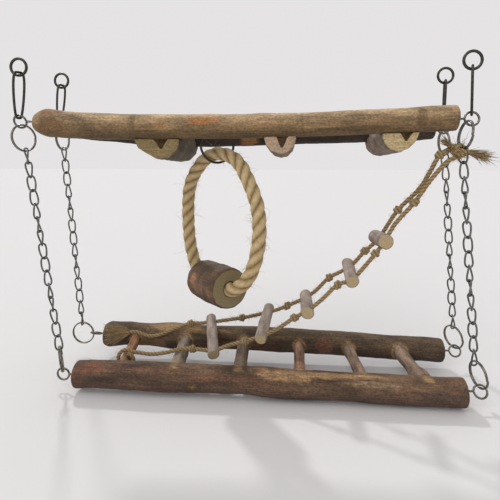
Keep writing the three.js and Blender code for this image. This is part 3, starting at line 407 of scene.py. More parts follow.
knot_centre = centre_of("upper_split_ring_front_right") + np.array((-2.96, 0.74, -9.5))
knot_loops = ((0.2, 4.2, 0.3), (1.0, 4.5, -0.4), (1.9, 4.0, 0.9), (2.6, 4.4, 0.1))
knot_tails = (
    (17, 110, 0.14, (-0.86, -0.3, 0.5)),
    (21, 150, 0.16, (0.95, -0.05, -0.26)),
    (9, 90, 0.3, (-0.35, -0.5, -0.75)),
)
chance = random.Random(9)
blocks = []
for turn, size, lean in knot_loops:
    a = np.linspace(0, 2 * np.pi, 46, endpoint=False)[:, None]
    one = np.array((math.cos(turn), math.sin(turn) * 0.8, lean))
    two = np.cross(one, (math.sin(turn * 1.7), 0.4, -0.6))
    one, two = one / np.linalg.norm(one), two / np.linalg.norm(two)
    loop = knot_centre + size * (one * np.cos(a) + two * 0.72 * np.sin(a))
    rows, _, shade = laid_block(loop, 1.45, 2 * np.pi * size / 4, 12, 0.3)
    blocks.append((rows, True, shade))
for reach, hairs, fan, way in knot_tails:
    way = np.array(way) / np.linalg.norm(way)
    t = np.linspace(0, 1, 22)[:, None]
    sway = np.cross(way, (0.2, 1, 0.1))
    end = knot_centre + way * (reach * 0.42) * t + sway * 0.8 * np.sin(3 * t)
    blocks.append(laid_block(end, np.linspace(1.5, 1.25, 22), jute_lay, 12, 0.2))
    for _ in range(hairs):
        spread = np.array([chance.gauss(0, fan) for _ in range(3)])
        curl = np.array([chance.gauss(0, fan) for _ in range(3)])
        start = end[chance.randint(10, 20)] + np.array([chance.gauss(0, 0.55) for _ in range(3)])
        size = (reach - 5) * chance.uniform(0.45, 0.85)
        path = [start + size * (s * (way + spread) + s * s * curl * 0.7) for s in (0, 0.3, 0.65, 1)]
        blocks.append(hair_block(path, [0.26, 0.22, 0.16, 0.05], chance.uniform(0.7, 1.25)))
for _ in range(150):
    way = np.array([chance.gauss(0, 1) for _ in range(3)])
    way /= np.linalg.norm(way)
    curl = np.array([chance.gauss(0, 0.5) for _ in range(3)])
    size = chance.uniform(1.5, 3.6)
    start = knot_centre + way * 3.8
    path = [start + size * (s * (way * 0.6 + curl) + s * s * curl) for s in (0, 0.5, 1)]
    blocks.append(hair_block(path, [0.14, 0.11, 0.04], chance.uniform(0.6, 1.15)))
top_knot = skinned("ladder_head_knot", blocks, jute)
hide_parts("ladder_top_knot")
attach(top_knot, "chain_front_right")


# The rope ring of the swing: thick sisal rope of three strands, hung over a metal ring and bent
# round until both its ends go into the perch log. Its route is in millimetres from the crown.
swing_ring_mid, swing_wire, rope_radius, rope_play = 12.2, 1.6, 4.75, 0.6
swing_centre = centre_of("swing_ring")
rope_crown = swing_centre + np.array((0, 0, -swing_ring_mid + swing_wire / 2 + rope_radius + rope_play))
swing_route = [
    (-8.6, 9.3, -91.6), (-11.6, 13.3, -91.9), (-14.9, 17.7, -92.2), (-19.0, 21.9, -88.9),
    (-22.2, 23.7, -80.5), (-24.7, 23.5, -69.5), (-25.6, 22.3, -57.5), (-25.5, 20.3, -39.8),
    (-23.4, 16.3, -25.6), (-19.6, 12.3, -16.3), (-14.4, 8.3, -9.0), (-8.1, 4.3, -2.9), (0.0, 0.0, 0.0),
    (10.5, -5.7, -2.3), (17.2, -10.7, -8.2), (21.1, -15.2, -14.9), (24.8, -18.7, -22.2),
    (28.8, -22.7, -33.6), (30.2, -25.7, -45.0), (29.8, -27.7, -56.5), (28.2, -28.2, -65.3),
    (25.5, -27.1, -74.0), (21.1, -24.1, -82.0), (15.5, -20.6, -87.3), (11.3, -17.1, -89.6),
    (8.0, -12.7, -89.9), (5.0, -8.7, -90.2),
]
line, _, _ = smooth_run([np.array(p) + rope_crown for p in swing_route], 0.7)
sisal = rope_finish("sisal_rope", paint(206, 182, 138), paint(168, 142, 100), paint(110, 90, 58), 2.6, 0.1)
blocks = [laid_block(line, rope_radius * 0.98, 27, 33, 0.17)]
blocks += fibre_blocks(random.Random(5), line, rope_radius, 330, 7, 0.09)
rope_ring = skinned("sisal_ring", blocks, sisal)
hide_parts("rope_ring")
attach(rope_ring, "rope_ring")


# The rails, rungs and logs are lengths of natural branch with their bark on, sawn off at both
# ends. This first pair carries the upper frame: the front rail is a light, smooth limb with scars
# and an underside coloured darker as painted shade, and the rear one is dark.
def turned_between(one, two):
    """The angle from one direction round a branch to another, at most half a turn."""
    return math.atan2(math.sin(one - two), math.cos(one - two))


def branch_course(stations):
    """A branch's start, its own axes, its length, its middle and radius at any place, mean radius."""
    points = [np.array(p, float) for p, _ in stations]
    along = points[-1] - points[0]
    length = np.linalg.norm(along)
    along /= length
    across = np.cross((0, 0, 1), along)
    across /= np.linalg.norm(across)
    axes = np.array([along, across, np.cross(along, across)])
    local = [axes @ (p - points[0]) for p in points]
    xs = np.array([p[0] for p in local])
    values = np.array([(p[1], p[2], r) for p, (_, r) in zip(local, stations)])
    slopes = np.gradient(values, xs, axis=0)
    if len(xs) > 4:
        slopes[1] = (values[2] - values[1]) / (xs[2] - xs[1])
        slopes[-2] = (values[-2] - values[-3]) / (xs[-2] - xs[-3])

    def at(x):
        i = int(np.clip(np.searchsorted(xs, x) - 1, 0, len(xs) - 2))
        w = xs[i + 1] - xs[i]
        t = (x - xs[i]) / w
        a, b, c, d = 2 * t**3 - 3 * t**2 + 1, t**3 - 2 * t**2 + t, -2 * t**3 + 3 * t**2, t**3 - t**2
        return a * values[i] + b * w * slopes[i] + c * values[i + 1] + d * w * slopes[i + 1]

    return points[0], axes, length, at, values[:, 2].mean()


def bark_point(x, a, middle, radius, rounding, seed, lump, furrow, knots):
    """A point of the bark, in a branch's own axes: lumps, furrows and knots on the round."""
    ca, sa = math.cos(a), math.sin(a)
    r = radius * (1 + lump * noise.fractal(Vector((x / 24, ca * 0.9 + seed, sa * 0.9)), 1, 2, 3))
    r += furrow * noise.noise(Vector((x / 9, ca * 3.3 + seed, sa * 3.3)))
    r += furrow * 0.6 * noise.noise(Vector((x / 2.6, ca * 7 + seed, sa * 7)))
    for knot_x, knot_angle, size, height in knots:
        off = math.hypot((x - knot_x) / size, turned_between(a, math.radians(knot_angle)) * radius / size)
        r += height * math.exp(-off * off)
    rim_depth = 0.55
    r -= rim_depth * rounding
    return np.array((x, middle[0] + r * ca, middle[1] + r * sa)), np.array((0, ca, sa))


def torn_round_hole(p, out, colour, hole):
    """The bark near a rung's hole: raised in a lip, and torn down to the pale wood."""
    mouth, way, size = hole
    v = p - mouth
    side = v @ way
    gap = np.linalg.norm(v - side * way) - size
    if side > -4 and -1.5 < gap < 2.4:
        lip = math.exp(-((gap - 0.4) ** 2)) * (0.7 + 0.6 * noise.noise(Vector(p) * 0.9))
        p = p + out * 0.55 * lip
        colour = colour + (np.array(paint(176, 142, 100)) - colour) * min(1, max(0, lip))
    return p, colour


def add_sawn_end(points, faces, around, edge_start, sides, middle, way, shares, bore, seed):
    """Closes an end: rings of points from the rim inwards, or to the wall of a bored hole."""
    rim = points[edge_start : edge_start + sides]
    last = [edge_start + k for k in range(sides)]
    for share in shares:
        fresh = list(range(len(points), len(points) + sides))
        for corner in rim:
            edge = corner - middle
            if share == "mouth":
                p = middle + edge / np.linalg.norm(edge[1:]) * bore
            elif share == "wall":
                p = middle + edge / np.linalg.norm(edge[1:]) * bore - np.array((way * 7.5, 0, 0))
            else:
                p = middle + edge * share
                p[0] += way * 0.12 * noise.noise(Vector((p[1] * 0.5, p[2] * 0.5, seed)))
            points.append(p)
        for k in range(sides):
            m = (k + 1) % sides
            faces.append((last[k], last[m], fresh[m], fresh[k])[::-way])
            around.extend([tuple((points[v] - middle)[1:]) for v in faces[-1]])
        last = fresh
    faces.append(tuple(last[::way]))
    around.extend([tuple((points[v] - middle)[1:]) for v in faces[-1]])


def limb(
    name, stations, finishes, tint, seed, sides=36, step=1.3, lump=0.045, furrow=0.16,
    knots=(), sockets=(), bore=None,
):
    """A branch along stations of (point, radius), in bark, with sawn ends. Knots lie at degrees round it."""
    origin, axes, length, at, mean_radius = branch_course(stations)
    holes = [(axes @ (np.array(p) - origin), axes @ d / np.linalg.norm(d), r) for p, d, r in sockets]
    rim = 0.5
    inner = [x for x in np.linspace(0, length, max(4, round(length / step))) if 1 < x < length - 1]
    places = [0.0, 0.18, rim, *inner, length - rim, length - 0.18, length]
    points, colours, faces, around = [], [], [], []
    for x in places:
        y, z, radius = at(x)
        rounding = (1 - min(x, length - x, rim) / rim) ** 2
        for k in range(sides):
            a = 2 * math.pi * k / sides
            p, out = bark_point(x, a, (y, z), radius, rounding, seed, lump, furrow, knots)
            colour = np.array(tint(x, a))
            for hole in holes:
                p, colour = torn_round_hole(p, out, colour, hole)
            points.append(p)
            colours.append(colour)
    girth = 6 * mean_radius
    for i in range(len(places) - 1):
        here, beyond = places[i], places[i + 1]
        for k in range(sides):
            m = (k + 1) % sides
            faces.append((i * sides + k, i * sides + m, (i + 1) * sides + m, (i + 1) * sides + k))
            low, high = k / sides * girth, (k + 1) / sides * girth
            around.extend([(here, low), (here, high), (beyond, high), (beyond, low)])
    bark_faces = len(faces)
    shares = [0.82, 0.62, 0.4, 0.2]
    if bore:
        shares = [s for s in shares if s * mean_radius > bore + 1.2] + ["mouth", "wall"]
    for i, way in ((0, -1), (len(places) - 1, 1)):
        middle = np.array((places[i], *at(places[i])[:2]))
        add_sawn_end(points, faces, around, i * sides, sides, middle, way, shares, bore, seed)
    colours += [(0.5, 0.5, 0.5)] * (len(points) - len(colours))
    cut = [i >= bark_faces for i in range(len(faces))]
    piece = mesh_piece(name, points, faces, around, finishes)
    tint_layer = piece.data.color_attributes.new("tint", "FLOAT_COLOR", "POINT")
    tint_layer.data.foreach_set("color", np.array([(*c, 1) for c in colours], np.float32).reshape(-1))
    piece.data.polygons.foreach_set("use_smooth", [not c for c in cut])
    piece.data.polygons.foreach_set("material_index", [int(c) for c in cut])
    piece.matrix_world = Matrix.Translation(Vector(origin) * mm) @ Matrix(axes.T.tolist()).to_4x4()
    return piece


def bark_finish(name, roughness=0.8, streak=0.5, speckle=0.4, relief_depth=0.0006, coarse=1.0):
    """Bark: the tint on the mesh, broken up by fibres that run along the branch and by fine specks."""
    made = bpy.data.materials.new(name)
    made.use_nodes = True
    tree = made.node_tree
    place = tree.nodes.new("ShaderNodeTexCoord").outputs["Object"]

    def grain(scale, detail, softness):
        stretch = shader_node(tree, "Mapping", {"Vector": place, "Scale": tuple(s * coarse for s in scale)})
        layer = {"Vector": stretch.outputs[0], "Scale": 1, "Detail": detail, "Roughness": softness}
        return shader_node(tree, "TexNoise", layer).outputs[0]

    def spread(layer, low, high, amount):
        levels = {"Value": layer, "From Min": low, "From Max": high}
        levels.update({"To Min": 1 - amount, "To Max": 1 + amount})
        return shader_node(tree, "MapRange", levels).outputs[0]

    def combined(kind, one, two):
        return shader_node(tree, "Math", {0: one, 1: two}, operation=kind).outputs[0]

    fibres = grain((45, 900, 900), 6, 0.65)
    specks = grain((620, 900, 900), 3, 0.7)
    clouds = grain((70, 260, 260), 3, 0.5)
    marks = combined("MULTIPLY", spread(specks, 0.35, 0.65, speckle), spread(clouds, 0.3, 0.7, 0.16))
    level = combined("MULTIPLY", spread(fibres, 0.3, 0.7, streak), marks)
    tint = shader_node(tree, "Attribute", {}, attribute_name="tint").outputs["Color"]
    broken = shader_node(tree, "VectorMath", {0: tint, "Scale": level}, operation="SCALE").outputs[0]
    surface(tree, broken, roughness, combined("ADD", fibres, specks), 0.8, relief_depth)
    return made


def end_grain(name, pale, dark, ring_gap=1.5, ring_depth=0.07):
    """A sawn end: growth rings round the pith, with fine cracks."""
    made = bpy.data.materials.new(name)
    made.use_nodes = True
    tree = made.node_tree
    place = tree.nodes.new("ShaderNodeUVMap").outputs[0]
    shift = shader_node(tree, "TexNoise", {"Vector": place, "Scale": 0.25, "Detail": 3}).outputs[0]
    reach = shader_node(tree, "VectorMath", {0: place}, operation="LENGTH").outputs["Value"]
    ripple = shader_node(tree, "Math", {0: shift, 1: 2.2, 2: reach}, operation="MULTIPLY_ADD").outputs[0]
    turn = shader_node(tree, "Math", {0: ripple, 1: 2 * math.pi / ring_gap}, operation="MULTIPLY")
    rings = shader_node(tree, "Math", {0: turn.outputs[0]}, operation="SINE").outputs[0]
    fine = shader_node(tree, "TexNoise", {"Vector": place, "Scale": 1.6, "Detail": 6}).outputs[0]
    level = shader_node(tree, "Math", {0: rings, 1: ring_depth, 2: fine}, operation="MULTIPLY_ADD").outputs[0]
    surface(tree, colour_ramp(tree, level, [(0.25, dark), (0.7, pale)]), 0.85, level, 0.4, 0.0003)
    return made


def bark_tint(top, middle, under, seed, patches=(), mottle=0.35, coarse=26):
    """Colours round and along a branch: the top, the sides and the underside each get a colour of their own,
    and the change from one to the next is painted light and shade. Worn or stained patches are laid over
    them. A patch is its place along the branch, its degrees round it, half its length and angle, its colour
    and strength."""
    top, middle, under = (np.array(c) for c in (top, middle, under))

    def tint(x, a):
        up = math.sin(a)
        # Painted light and shade: the colour runs from the top colour above to the underside colour below.
        base = middle + (top - middle) * max(up, 0) + (under - middle) * max(-up, 0)
        cloud = noise.fractal(Vector((x / coarse, math.cos(a) * 1.2 + seed, math.sin(a) * 1.2)), 1, 2, 4)
        base = base * (1 + mottle * 1.6 * cloud)
        ragged = 0.45 * noise.noise(Vector((x / 5, math.cos(a) * 3 + seed, math.sin(a) * 3)))
        for place, degrees, half, spread, colour, strength in patches:
            off = math.hypot((x - place) / half, turned_between(a, math.radians(degrees)) / spread)
            cover = strength * min(1, max(0, (1.15 - off - ragged) / 0.4))
            base = base + (np.array(colour) - base) * cover
        return np.clip(base, 0.004, 1)

    return tint


def rail_stations(shares, length, radius, middle):
    """A rail's stations, from shares of its length along it and of its radius up and across."""
    x, y, z = middle
    return [((x + share * length, y, z + rise * radius), size * radius) for share, rise, size in shares]


rail_y = 26.5
upper_z, upper_radius, upper_length, upper_shift = -39.1, 8, 267.8, -0.4
upper_front = rail_stations(
    [
        (-0.5, -0.15, 0.5), (-0.494, -0.12, 0.74), (-0.483, -0.11, 0.94), (-0.468, -0.11, 1.12),
        (-0.45, -0.16, 1.1), (-0.39, -0.34, 1.07), (-0.28, -0.46, 1.03), (-0.13, -0.48, 0.98),
        (0.01, -0.47, 0.96), (0.14, -0.4, 0.94), (0.27, -0.24, 0.95), (0.41, -0.06, 0.96),
        (0.493, 0.07, 0.98), (0.5, 0.07, 0.95),
    ],
    upper_length, upper_radius, (upper_shift, -rail_y, upper_z),
)
upper_rear = rail_stations(
    [
        (-0.5, -0.05, 0.92), (-0.492, -0.09, 1.0), (-0.435, -0.3, 1.03), (-0.31, -0.66, 1.04),
        (-0.13, -0.97, 1.03), (0.02, -0.89, 1.01), (0.2, -0.68, 1.02), (0.36, -0.54, 1.04),
        (0.45, -0.44, 1.02), (0.493, -0.36, 1.0), (0.5, -0.36, 0.94),
    ],
    275, upper_radius, (0, rail_y, upper_z),
)
light_bark = bark_finish("light_bark", 0.75, 0.3, 0.38, 0.0005)
dark_bark = bark_finish("dark_bark", 0.85, 0.4, 0.35, 0.0008)
sawn = end_grain("sawn_end", paint(170, 148, 112), paint(118, 96, 70))
# Top, side and underside colours: the pale top is painted light and the dark underside painted shade.
front_rail_tint = bark_tint(
    paint(184, 156, 120), paint(132, 106, 74), paint(94, 74, 48), 1.3,
    [
        (113, 152, 11, 0.32, paint(176, 112, 58), 0.75), (68, 150, 1.6, 1.3, paint(92, 74, 50), 0.6),
        (59, 215, 26, 0.45, paint(92, 72, 46), 0.55), (246, 165, 3, 1.1, paint(84, 64, 40), 0.6),
        (15, 190, 9, 0.9, paint(104, 76, 48), 0.7), (13, 110, 8, 0.6, paint(128, 74, 44), 0.6),
        (140, 215, 90, 0.35, paint(96, 78, 50), 0.5), (205, 215, 40, 0.3, paint(84, 66, 42), 0.5),
        (86, 172, 4, 0.3, paint(168, 112, 58), 0.4),
    ],
)
front_rail = limb(
    "upper_front_branch", upper_front, (light_bark, sawn), front_rail_tint, 1.3, sides=44,
    knots=[(22, 200, 7, 0.5), (150, 120, 6, 0.5), (222, 170, 8, 0.4)],
)
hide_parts("upper_front_rail")
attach(front_rail, "upper_frame")
# Top, side and underside colours: lighter on top as painted light, darker below as painted shade.
rear_rail_tint = bark_tint(
    paint(82, 66, 52), paint(62, 49, 39), paint(50, 39, 32), 4.1,
    [(141, 215, 7, 0.7, paint(150, 104, 56), 0.8)],
)
rear_rail = limb(
    "upper_rear_branch", upper_rear, (dark_bark, sawn), rear_rail_tint, 4.1,
    knots=[(60, 250, 6, 0.6), (190, 200, 7, 0.6)],
)
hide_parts("upper_rear_rail")
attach(rear_rail, "upper_frame")


# Three short, thick logs lie across under the upper rails. Each is notched so that the rails lie
# in saddles near its ends, and a V is sawn into its front end under the rail.
log_finish = bark_finish("log_bark", 0.85, 0.25, 0.3, 0.0005)


def sawn_log(node, axis_x, axis_z, radius, colours, seed):
    """The log's own solid made fine: bark outside, cut wood in the saddles and the V, rings on the ends."""
    bark_colour, cut_colour, face_colour = (np.array(c) for c in colours)
    plain = bpy.data.objects[node].data.copy()
    plain.materials.clear()
    piece = bpy.data.objects.new("split_" + node, plain)
    scene.collection.objects.link(piece)
    remesh = piece.modifiers.new("fine", "REMESH")
    remesh.mode = "VOXEL"
    remesh.voxel_size = 0.8 * mm
    mesh = bpy.data.meshes.new_from_object(piece.evaluated_get(bpy.context.evaluated_depsgraph_get()))
    piece.modifiers.clear()
    piece.data = mesh
    tints = []
    for v, out in zip(mesh.vertices, [v.normal.copy() for v in mesh.vertices]):
        x, y, z = (c / mm for c in v.co)
        reach = math.hypot(x - axis_x, z - axis_z) / radius
        end = abs(out.y) ** 2
        bark = min(1, max(0, (reach - 0.88) / 0.06)) * (1 - end)
        rough = 0.35 * noise.fractal(Vector((x / 3, y / 7, z / 3 + seed)), 1, 2, 4)
        rough += 0.12 * noise.noise(Vector((x, y / 3, z)))
        v.co = v.co + out * (rough * (0.35 + 0.65 * bark) - 0.1) * mm
        cloud = 1 + 0.5 * noise.fractal(Vector((x / 5, y / 16, z / 5 + seed)), 1, 2, 4)
        fibre = 1 + 0.25 * noise.noise(Vector((x * 1.3, y / 9, z * 1.3)))
        ring = 1 + 0.1 * math.sin(reach * radius * 3.4 + 2 * noise.noise(Vector((x / 4, 0, z / 4))))
        wood = cut_colour * fibre * (1 - end) + face_colour * ring * end
        tints.append((*np.clip(bark_colour * cloud * bark + wood * (1 - bark), 0.004, 1), 1))
    tint_layer = mesh.color_attributes.new("tint", "FLOAT_COLOR", "POINT")
    tint_layer.data.foreach_set("color", np.array(tints, np.float32).reshape(-1))
    mesh.polygons.foreach_set("use_smooth", [True] * len(mesh.polygons))
    mesh.materials.append(log_finish)
    return piece


for node, share, sink, radius, colours, seed in (
    ("cross_log_1", -0.192, 1.27, 15.4, (paint(86, 76, 60), paint(172, 148, 108), paint(130, 112, 76)), 1),
    ("cross_log_2", 0.102, 1.42, 10.2, (paint(128, 108, 88), paint(176, 150, 118), paint(176, 150, 126)), 2),
    ("cross_log_3", 0.377, 1.13, 11.4, (paint(120, 104, 90), paint(184, 160, 122), paint(182, 160, 120)), 3),
):
    log_x, log_z = upper_shift + share * upper_length, upper_z - sink * upper_radius
    log = sawn_log(node, log_x, log_z, radius, colours, seed)
    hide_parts(node)
    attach(log, "upper_frame")


# The deck: two long branches with reddish bark. The rungs are pushed into holes bored in them,
# and the bark is torn pale round the holes.
deck_radius = 9.4
deck_front_length, deck_front_x = 262.2, 16.8
deck_rear_length, deck_rear_x, deck_rear_rise = 266.4, 18.45, 7.2
deck_front = rail_stations(
    [
        (-0.5, 0.02, 0.93), (-0.492, 0.04, 1.0), (-0.464, 0.1, 0.98), (-0.4, 0.13, 1.0),
        (-0.29, 0.11, 1.03), (-0.15, 0.14, 0.98), (-0.03, 0.14, 0.97), (0.02, 0.04, 1.03),
        (0.17, 0, 0.96), (0.33, -0.06, 1.0), (0.45, -0.09, 0.98), (0.492, -0.1, 1.01), (0.5, -0.1, 0.98),
    ],
    deck_front_length, deck_radius, (deck_front_x, -rail_y, deck_z),
)
deck_rear = rail_stations(
    [
        (-0.5, -0.05, 0.93), (-0.485, -0.01, 1.08), (-0.445, 0.08, 1.0), (-0.36, 0.06, 0.92),
        (-0.29, 0.02, 1.08), (-0.22, 0.02, 0.98), (0, 0.01, 0.99), (0.18, -0.1, 0.97),
        (0.35, -0.28, 0.96), (0.492, -0.4, 0.96), (0.5, -0.4, 0.9),
    ],
    deck_rear_length, deck_radius, (deck_rear_x, rail_y, deck_z + deck_rear_rise),
)


def rail_height(stations, x):
    return float(np.interp(x, [p[0] for p, _ in stations], [p[2] for p, _ in stations]))


rung_ends = []
for radius, front_share, rear_share in zip(
    (3.75, 4.9, 4.65, 3.9, 4.1, 5),
    (-0.378, -0.232, -0.064, 0.094, 0.256, 0.408),
    (-0.399, -0.246, -0.072, 0.089, 0.227, 0.37),
):
    front_x = deck_front_x + front_share * deck_front_length
    rear_x = deck_rear_x + rear_share * deck_rear_length
    front_end = np.array((front_x, -rail_y, rail_height(deck_front, front_x) + 3.4))
    rear_end = np.array((rear_x, rail_y, rail_height(deck_rear, rear_x) + 0.2))
    rung_ends.append((front_end, rear_end, radius))
deck_bark = bark_finish("deck_bark", 0.8, 0.4, 0.4, 0.0008)
red, streak = paint(136, 84, 66), paint(172, 136, 96)
# Top, side and underside colours: lighter on top as painted light, darker below as painted shade.
deck_front_tint = bark_tint(
    paint(104, 80, 61), paint(90, 69, 54), paint(74, 56, 45), 7.7,
    [
        (204, 138, 17, 0.2, paint(156, 130, 98), 0.85), (172, 106, 44, 0.27, streak, 0.8),
        (146, 128, 20, 0.3, streak, 0.6), (14, 128, 9, 0.4, red, 0.6), (50, 125, 26, 0.2, red, 0.25),
        (96, 150, 24, 0.3, red, 0.2), (128, 160, 20, 0.4, red, 0.1),
        (60, 215, 40, 0.4, paint(92, 62, 44), 0.3), (245, 190, 16, 0.7, paint(80, 66, 56), 0.5),
        (84, 190, 2, 0.18, paint(150, 118, 72), 0.6), (5, 180, 4, 1.4, paint(96, 64, 50), 0.6),
    ],
    0.4,
)
front_deck = limb(
    "deck_front_branch", deck_front, (deck_bark, sawn), deck_front_tint, 7.7, sides=44,
    sockets=[(one, two - one, r) for one, two, r in rung_ends],
    knots=[(52, 150, 6, 0.6), (132, 190, 8, 0.6), (230, 170, 6, 0.5)],
)
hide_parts("deck_front_rail")
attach(front_deck, "lower_frame")
# Top, side and underside colours: lighter on top as painted light, darker below as painted shade.
deck_rear_tint = bark_tint(
    paint(98, 80, 60), paint(78, 62, 47), paint(60, 47, 36), 9.2,
    [
        (58, 112, 22, 0.45, streak, 0.75), (84, 125, 26, 0.25, streak, 0.5),
        (110, 205, 30, 0.5, paint(112, 70, 50), 0.5), (150, 110, 30, 0.5, paint(70, 56, 38), 0.6),
        (176, 180, 6, 0.9, red, 0.5), (36, 190, 16, 0.8, paint(130, 104, 74), 0.6),
    ],
    0.4,
)
rear_deck = limb(
    "deck_rear_branch", deck_rear, (deck_bark, sawn), deck_rear_tint, 9.2,
    sockets=[(two, one - two, r) for one, two, r in rung_ends],
    knots=[(57, 180, 8, 0.8), (20, 100, 6, 0.6)],
)
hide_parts("deck_rear_rail")
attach(rear_deck, "lower_frame")


# Six rungs make the deck's floor: sticks of different thickness, some with red bark and some with
# grey, set into both rails. The last one has a thick foot at the front.
rung_depth = 6
rung_sizes = [(0, 1.04, 1.36), (0.17, 1.02, 1.3), (0.3, 0.98, 1.02), (0.7, 1, 0.97), (1, 1.03, 1)]
rung_bark = bark_finish("rung_bark", 0.8, 0.3, 0.3, 0.0005, 1.3)
# Each rung's colours are for its top, its sides and its underside: painted light above, painted shade below.
rung_colours = [
    (paint(146, 106, 76), paint(122, 86, 62), paint(94, 66, 48)),
    (paint(134, 120, 104), paint(110, 94, 80), paint(80, 66, 56)),
    (paint(118, 100, 84), paint(96, 78, 66), paint(76, 62, 52)),
    (paint(132, 98, 76), paint(104, 76, 60), paint(80, 58, 47)),
    (paint(128, 106, 88), paint(104, 84, 70), paint(78, 62, 52)),
    (paint(134, 112, 94), paint(110, 90, 76), paint(80, 64, 54)),
]
for i, (one, two, radius) in enumerate(rung_ends):
    along = (two - one) / np.linalg.norm(two - one)
    start, end = one + along * (deck_radius - rung_depth), two - along * (deck_radius - rung_depth)
    stations = []
    for share, size, footed_size in rung_sizes:
        stations.append((start + (end - start) * share, radius * (footed_size if i == 5 else size)))
    rung = limb(
        "deck_stick_%d" % (i + 1), stations, (rung_bark, sawn),
        bark_tint(*rung_colours[i], 12 + i, (), 0.5, 14), 12 + i,
        sides=24, step=1.2, lump=0.06, furrow=0.12, knots=[(18 + 4 * i, 120 + 60 * i, 3, 0.5)],
    )
    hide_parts("deck_rung_%d" % (i + 1))
    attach(rung, "lower_frame")


# The perch log at the swing's foot: a short thick piece with red-brown bark and dark patches. It
# is bored at both ends for the rope and can turn on it.
perch_length, perch_radius = 40, 13.9
perch_from, perch_to = (np.array(swing_route[i]) + rope_crown for i in (0, -1))
perch_along = (perch_to - perch_from) / np.linalg.norm(perch_to - perch_from)
perch_middle = (perch_from + perch_to) / 2
perch_stations = []
for share, size in ((-0.5, 0.95), (-0.46, 0.99), (-0.15, 1), (0.2, 1.01), (0.46, 0.99), (0.5, 0.95)):
    perch_stations.append((perch_middle + perch_along * share * perch_length, size * perch_radius))
perch_bark = bark_finish("perch_bark", 0.7, 0.35, 0.3, 0.0006)
perch_grain = end_grain("perch_end", paint(142, 128, 96), paint(108, 94, 66), 1.9, 0.03)
# Top, side and underside colours: the darker underside is painted shade.
perch_tint = bark_tint(
    paint(84, 66, 49), paint(108, 80, 58), paint(64, 50, 38), 21,
    [
        (6, 200, 5, 0.9, paint(84, 62, 44), 0.6), (30, 150, 7, 0.4, paint(78, 60, 46), 0.6),
        (20, 235, 16, 0.5, paint(66, 50, 38), 0.8), (16, 120, 14, 0.35, paint(74, 60, 46), 0.6),
        (11, 168, 5, 0.35, paint(148, 104, 72), 0.7),
    ],
    0.5, 9,
)
perch = limb(
    "perch_block", perch_stations, (perch_bark, perch_grain), perch_tint, 21,
    sides=48, step=0.9, lump=0.05, furrow=0.3, bore=5.35,
)
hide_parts("perch_log")
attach(perch, "perch")


# The ladder's rungs: short grey twigs of different thickness, sawn off at both ends. Each is
# bored near its ends, and the two side ropes pass through the holes, with a knot on each side.
front_holes, rear_holes = [5, 8, 11, 14, 17], [6, 10, 14, 18, 22]
twig_bark = bark_finish("twig_bark", 0.75, 0.2, 0.2, 0.0004, 1.5)
twig_end = end_grain("twig_end", paint(192, 172, 134), paint(146, 124, 92), 1.2)
for i, (radius, front_over, rear_over) in enumerate(
    zip((5.1, 4.5, 4.6, 4.2, 4.2), (3, 3.5, 3.5, 4, 4.5), (11, 8, 5.5, 7, 6))
):
    one = np.array(in_part(front_route)[front_holes[i]])
    two = np.array(in_part(rear_route)[rear_holes[i]])
    along = (two - one) / np.linalg.norm(two - one)
    start, end = one - along * front_over, two + along * rear_over
    stations = [(start + (end - start) * share, radius * (1 - 0.08 * share)) for share in (0, 0.5, 1)]
    # The twig's top, side and underside colours: lighter above as painted light, darker below as painted
    # shade.
    twig = limb(
        "ladder_twig_%d" % (i + 1), stations, (twig_bark, twig_end),
        bark_tint(paint(162, 146, 134), paint(142, 124, 112), paint(108, 92, 80), 31 + i, (), 0.3, 10),
        31 + i, sides=26, step=1.0, lump=0.07, furrow=0.12, knots=[(10 + 3 * i, 200 + 50 * i, 2.5, 0.5)],
    )
    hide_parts("ladder_rung_%d" % (i + 1))
    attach(twig, "ladder_rung_%d" % (i + 1) if i < 3 else "lower_frame")


# The hang rings and hooks: dark plated wire. Each ring carries a long pear-shaped hook whose
# narrow foot holds a screw eye of the upper frame.
hang_ring_mid, hang_wire = 5.3, 1.8
hook_wire, hook_play, hook_head_width, hook_foot_width = 1.6, 0.3, 8.4, 5
hook_turns = {"front_left": 1.05, "front_right": 1.2, "rear_left": 1.2, "rear_right": 1.4}
eye_mid, eye_wire = 4.2, 1.4
corners = ("front_left", "front_right", "rear_left", "rear_right")


def wire_finish(name, colour, roughness, dull):
    """Plated wire with faint draw marks and darker grime."""
    made = bpy.data.materials.new(name)
    made.use_nodes = True
    tree = made.node_tree
    place = tree.nodes.new("ShaderNodeTexCoord").outputs["Object"]
    marks = shader_node(tree, "TexNoise", {"Vector": place, "Scale": 700, "Detail": 4}).outputs[0]
    plated = colour_ramp(tree, marks, [(0.3, [c * dull for c in colour]), (0.6, colour)])
    worn = shader_node(tree, "MapRange", {0: marks, "To Min": roughness * 0.7, "To Max": roughness * 1.3})
    skin = surface(tree, plated, worn.outputs[0], marks, 0.15, 0.0001)
    skin.inputs["Metallic"].default_value = 1
    return made


def closed_wire(line, radius, sides):
    """A round wire along a closed line in one piece."""
    along = np.roll(line, -1, axis=0) - np.roll(line, 1, axis=0)
    along /= np.linalg.norm(along, axis=1)[:, None]
    flat = np.linalg.svd(line - line.mean(axis=0))[2][2]
    side = np.cross(along, flat)
    side /= np.linalg.norm(side, axis=1)[:, None]
    up = np.cross(side, along)
    angle = (np.arange(sides) * 2 * np.pi / sides)[None, :, None]
    rows = line[:, None] + radius * (side[:, None] * np.cos(angle) + up[:, None] * np.sin(angle))
    return rows, True, 1.0


def hanging_turn(line, turn):
    """The turn that brings a flat loop's own -Z onto a line, after a turn about it."""
    lean = Vector((0, 0, -1)).rotation_difference(Vector(line))
    return np.array((lean @ Quaternion((0, 0, 1), turn)).to_matrix())


def eye_centre(node, corner):
    """The middle of a screw eye's loop, which fills the outer end of its node's box."""
    low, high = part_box(node)
    _, y, z = centre_of(node)
    outer = eye_mid + eye_wire / 2
    return np.array((low[0] / mm + outer if corner.endswith("left") else high[0] / mm - outer, y, z))


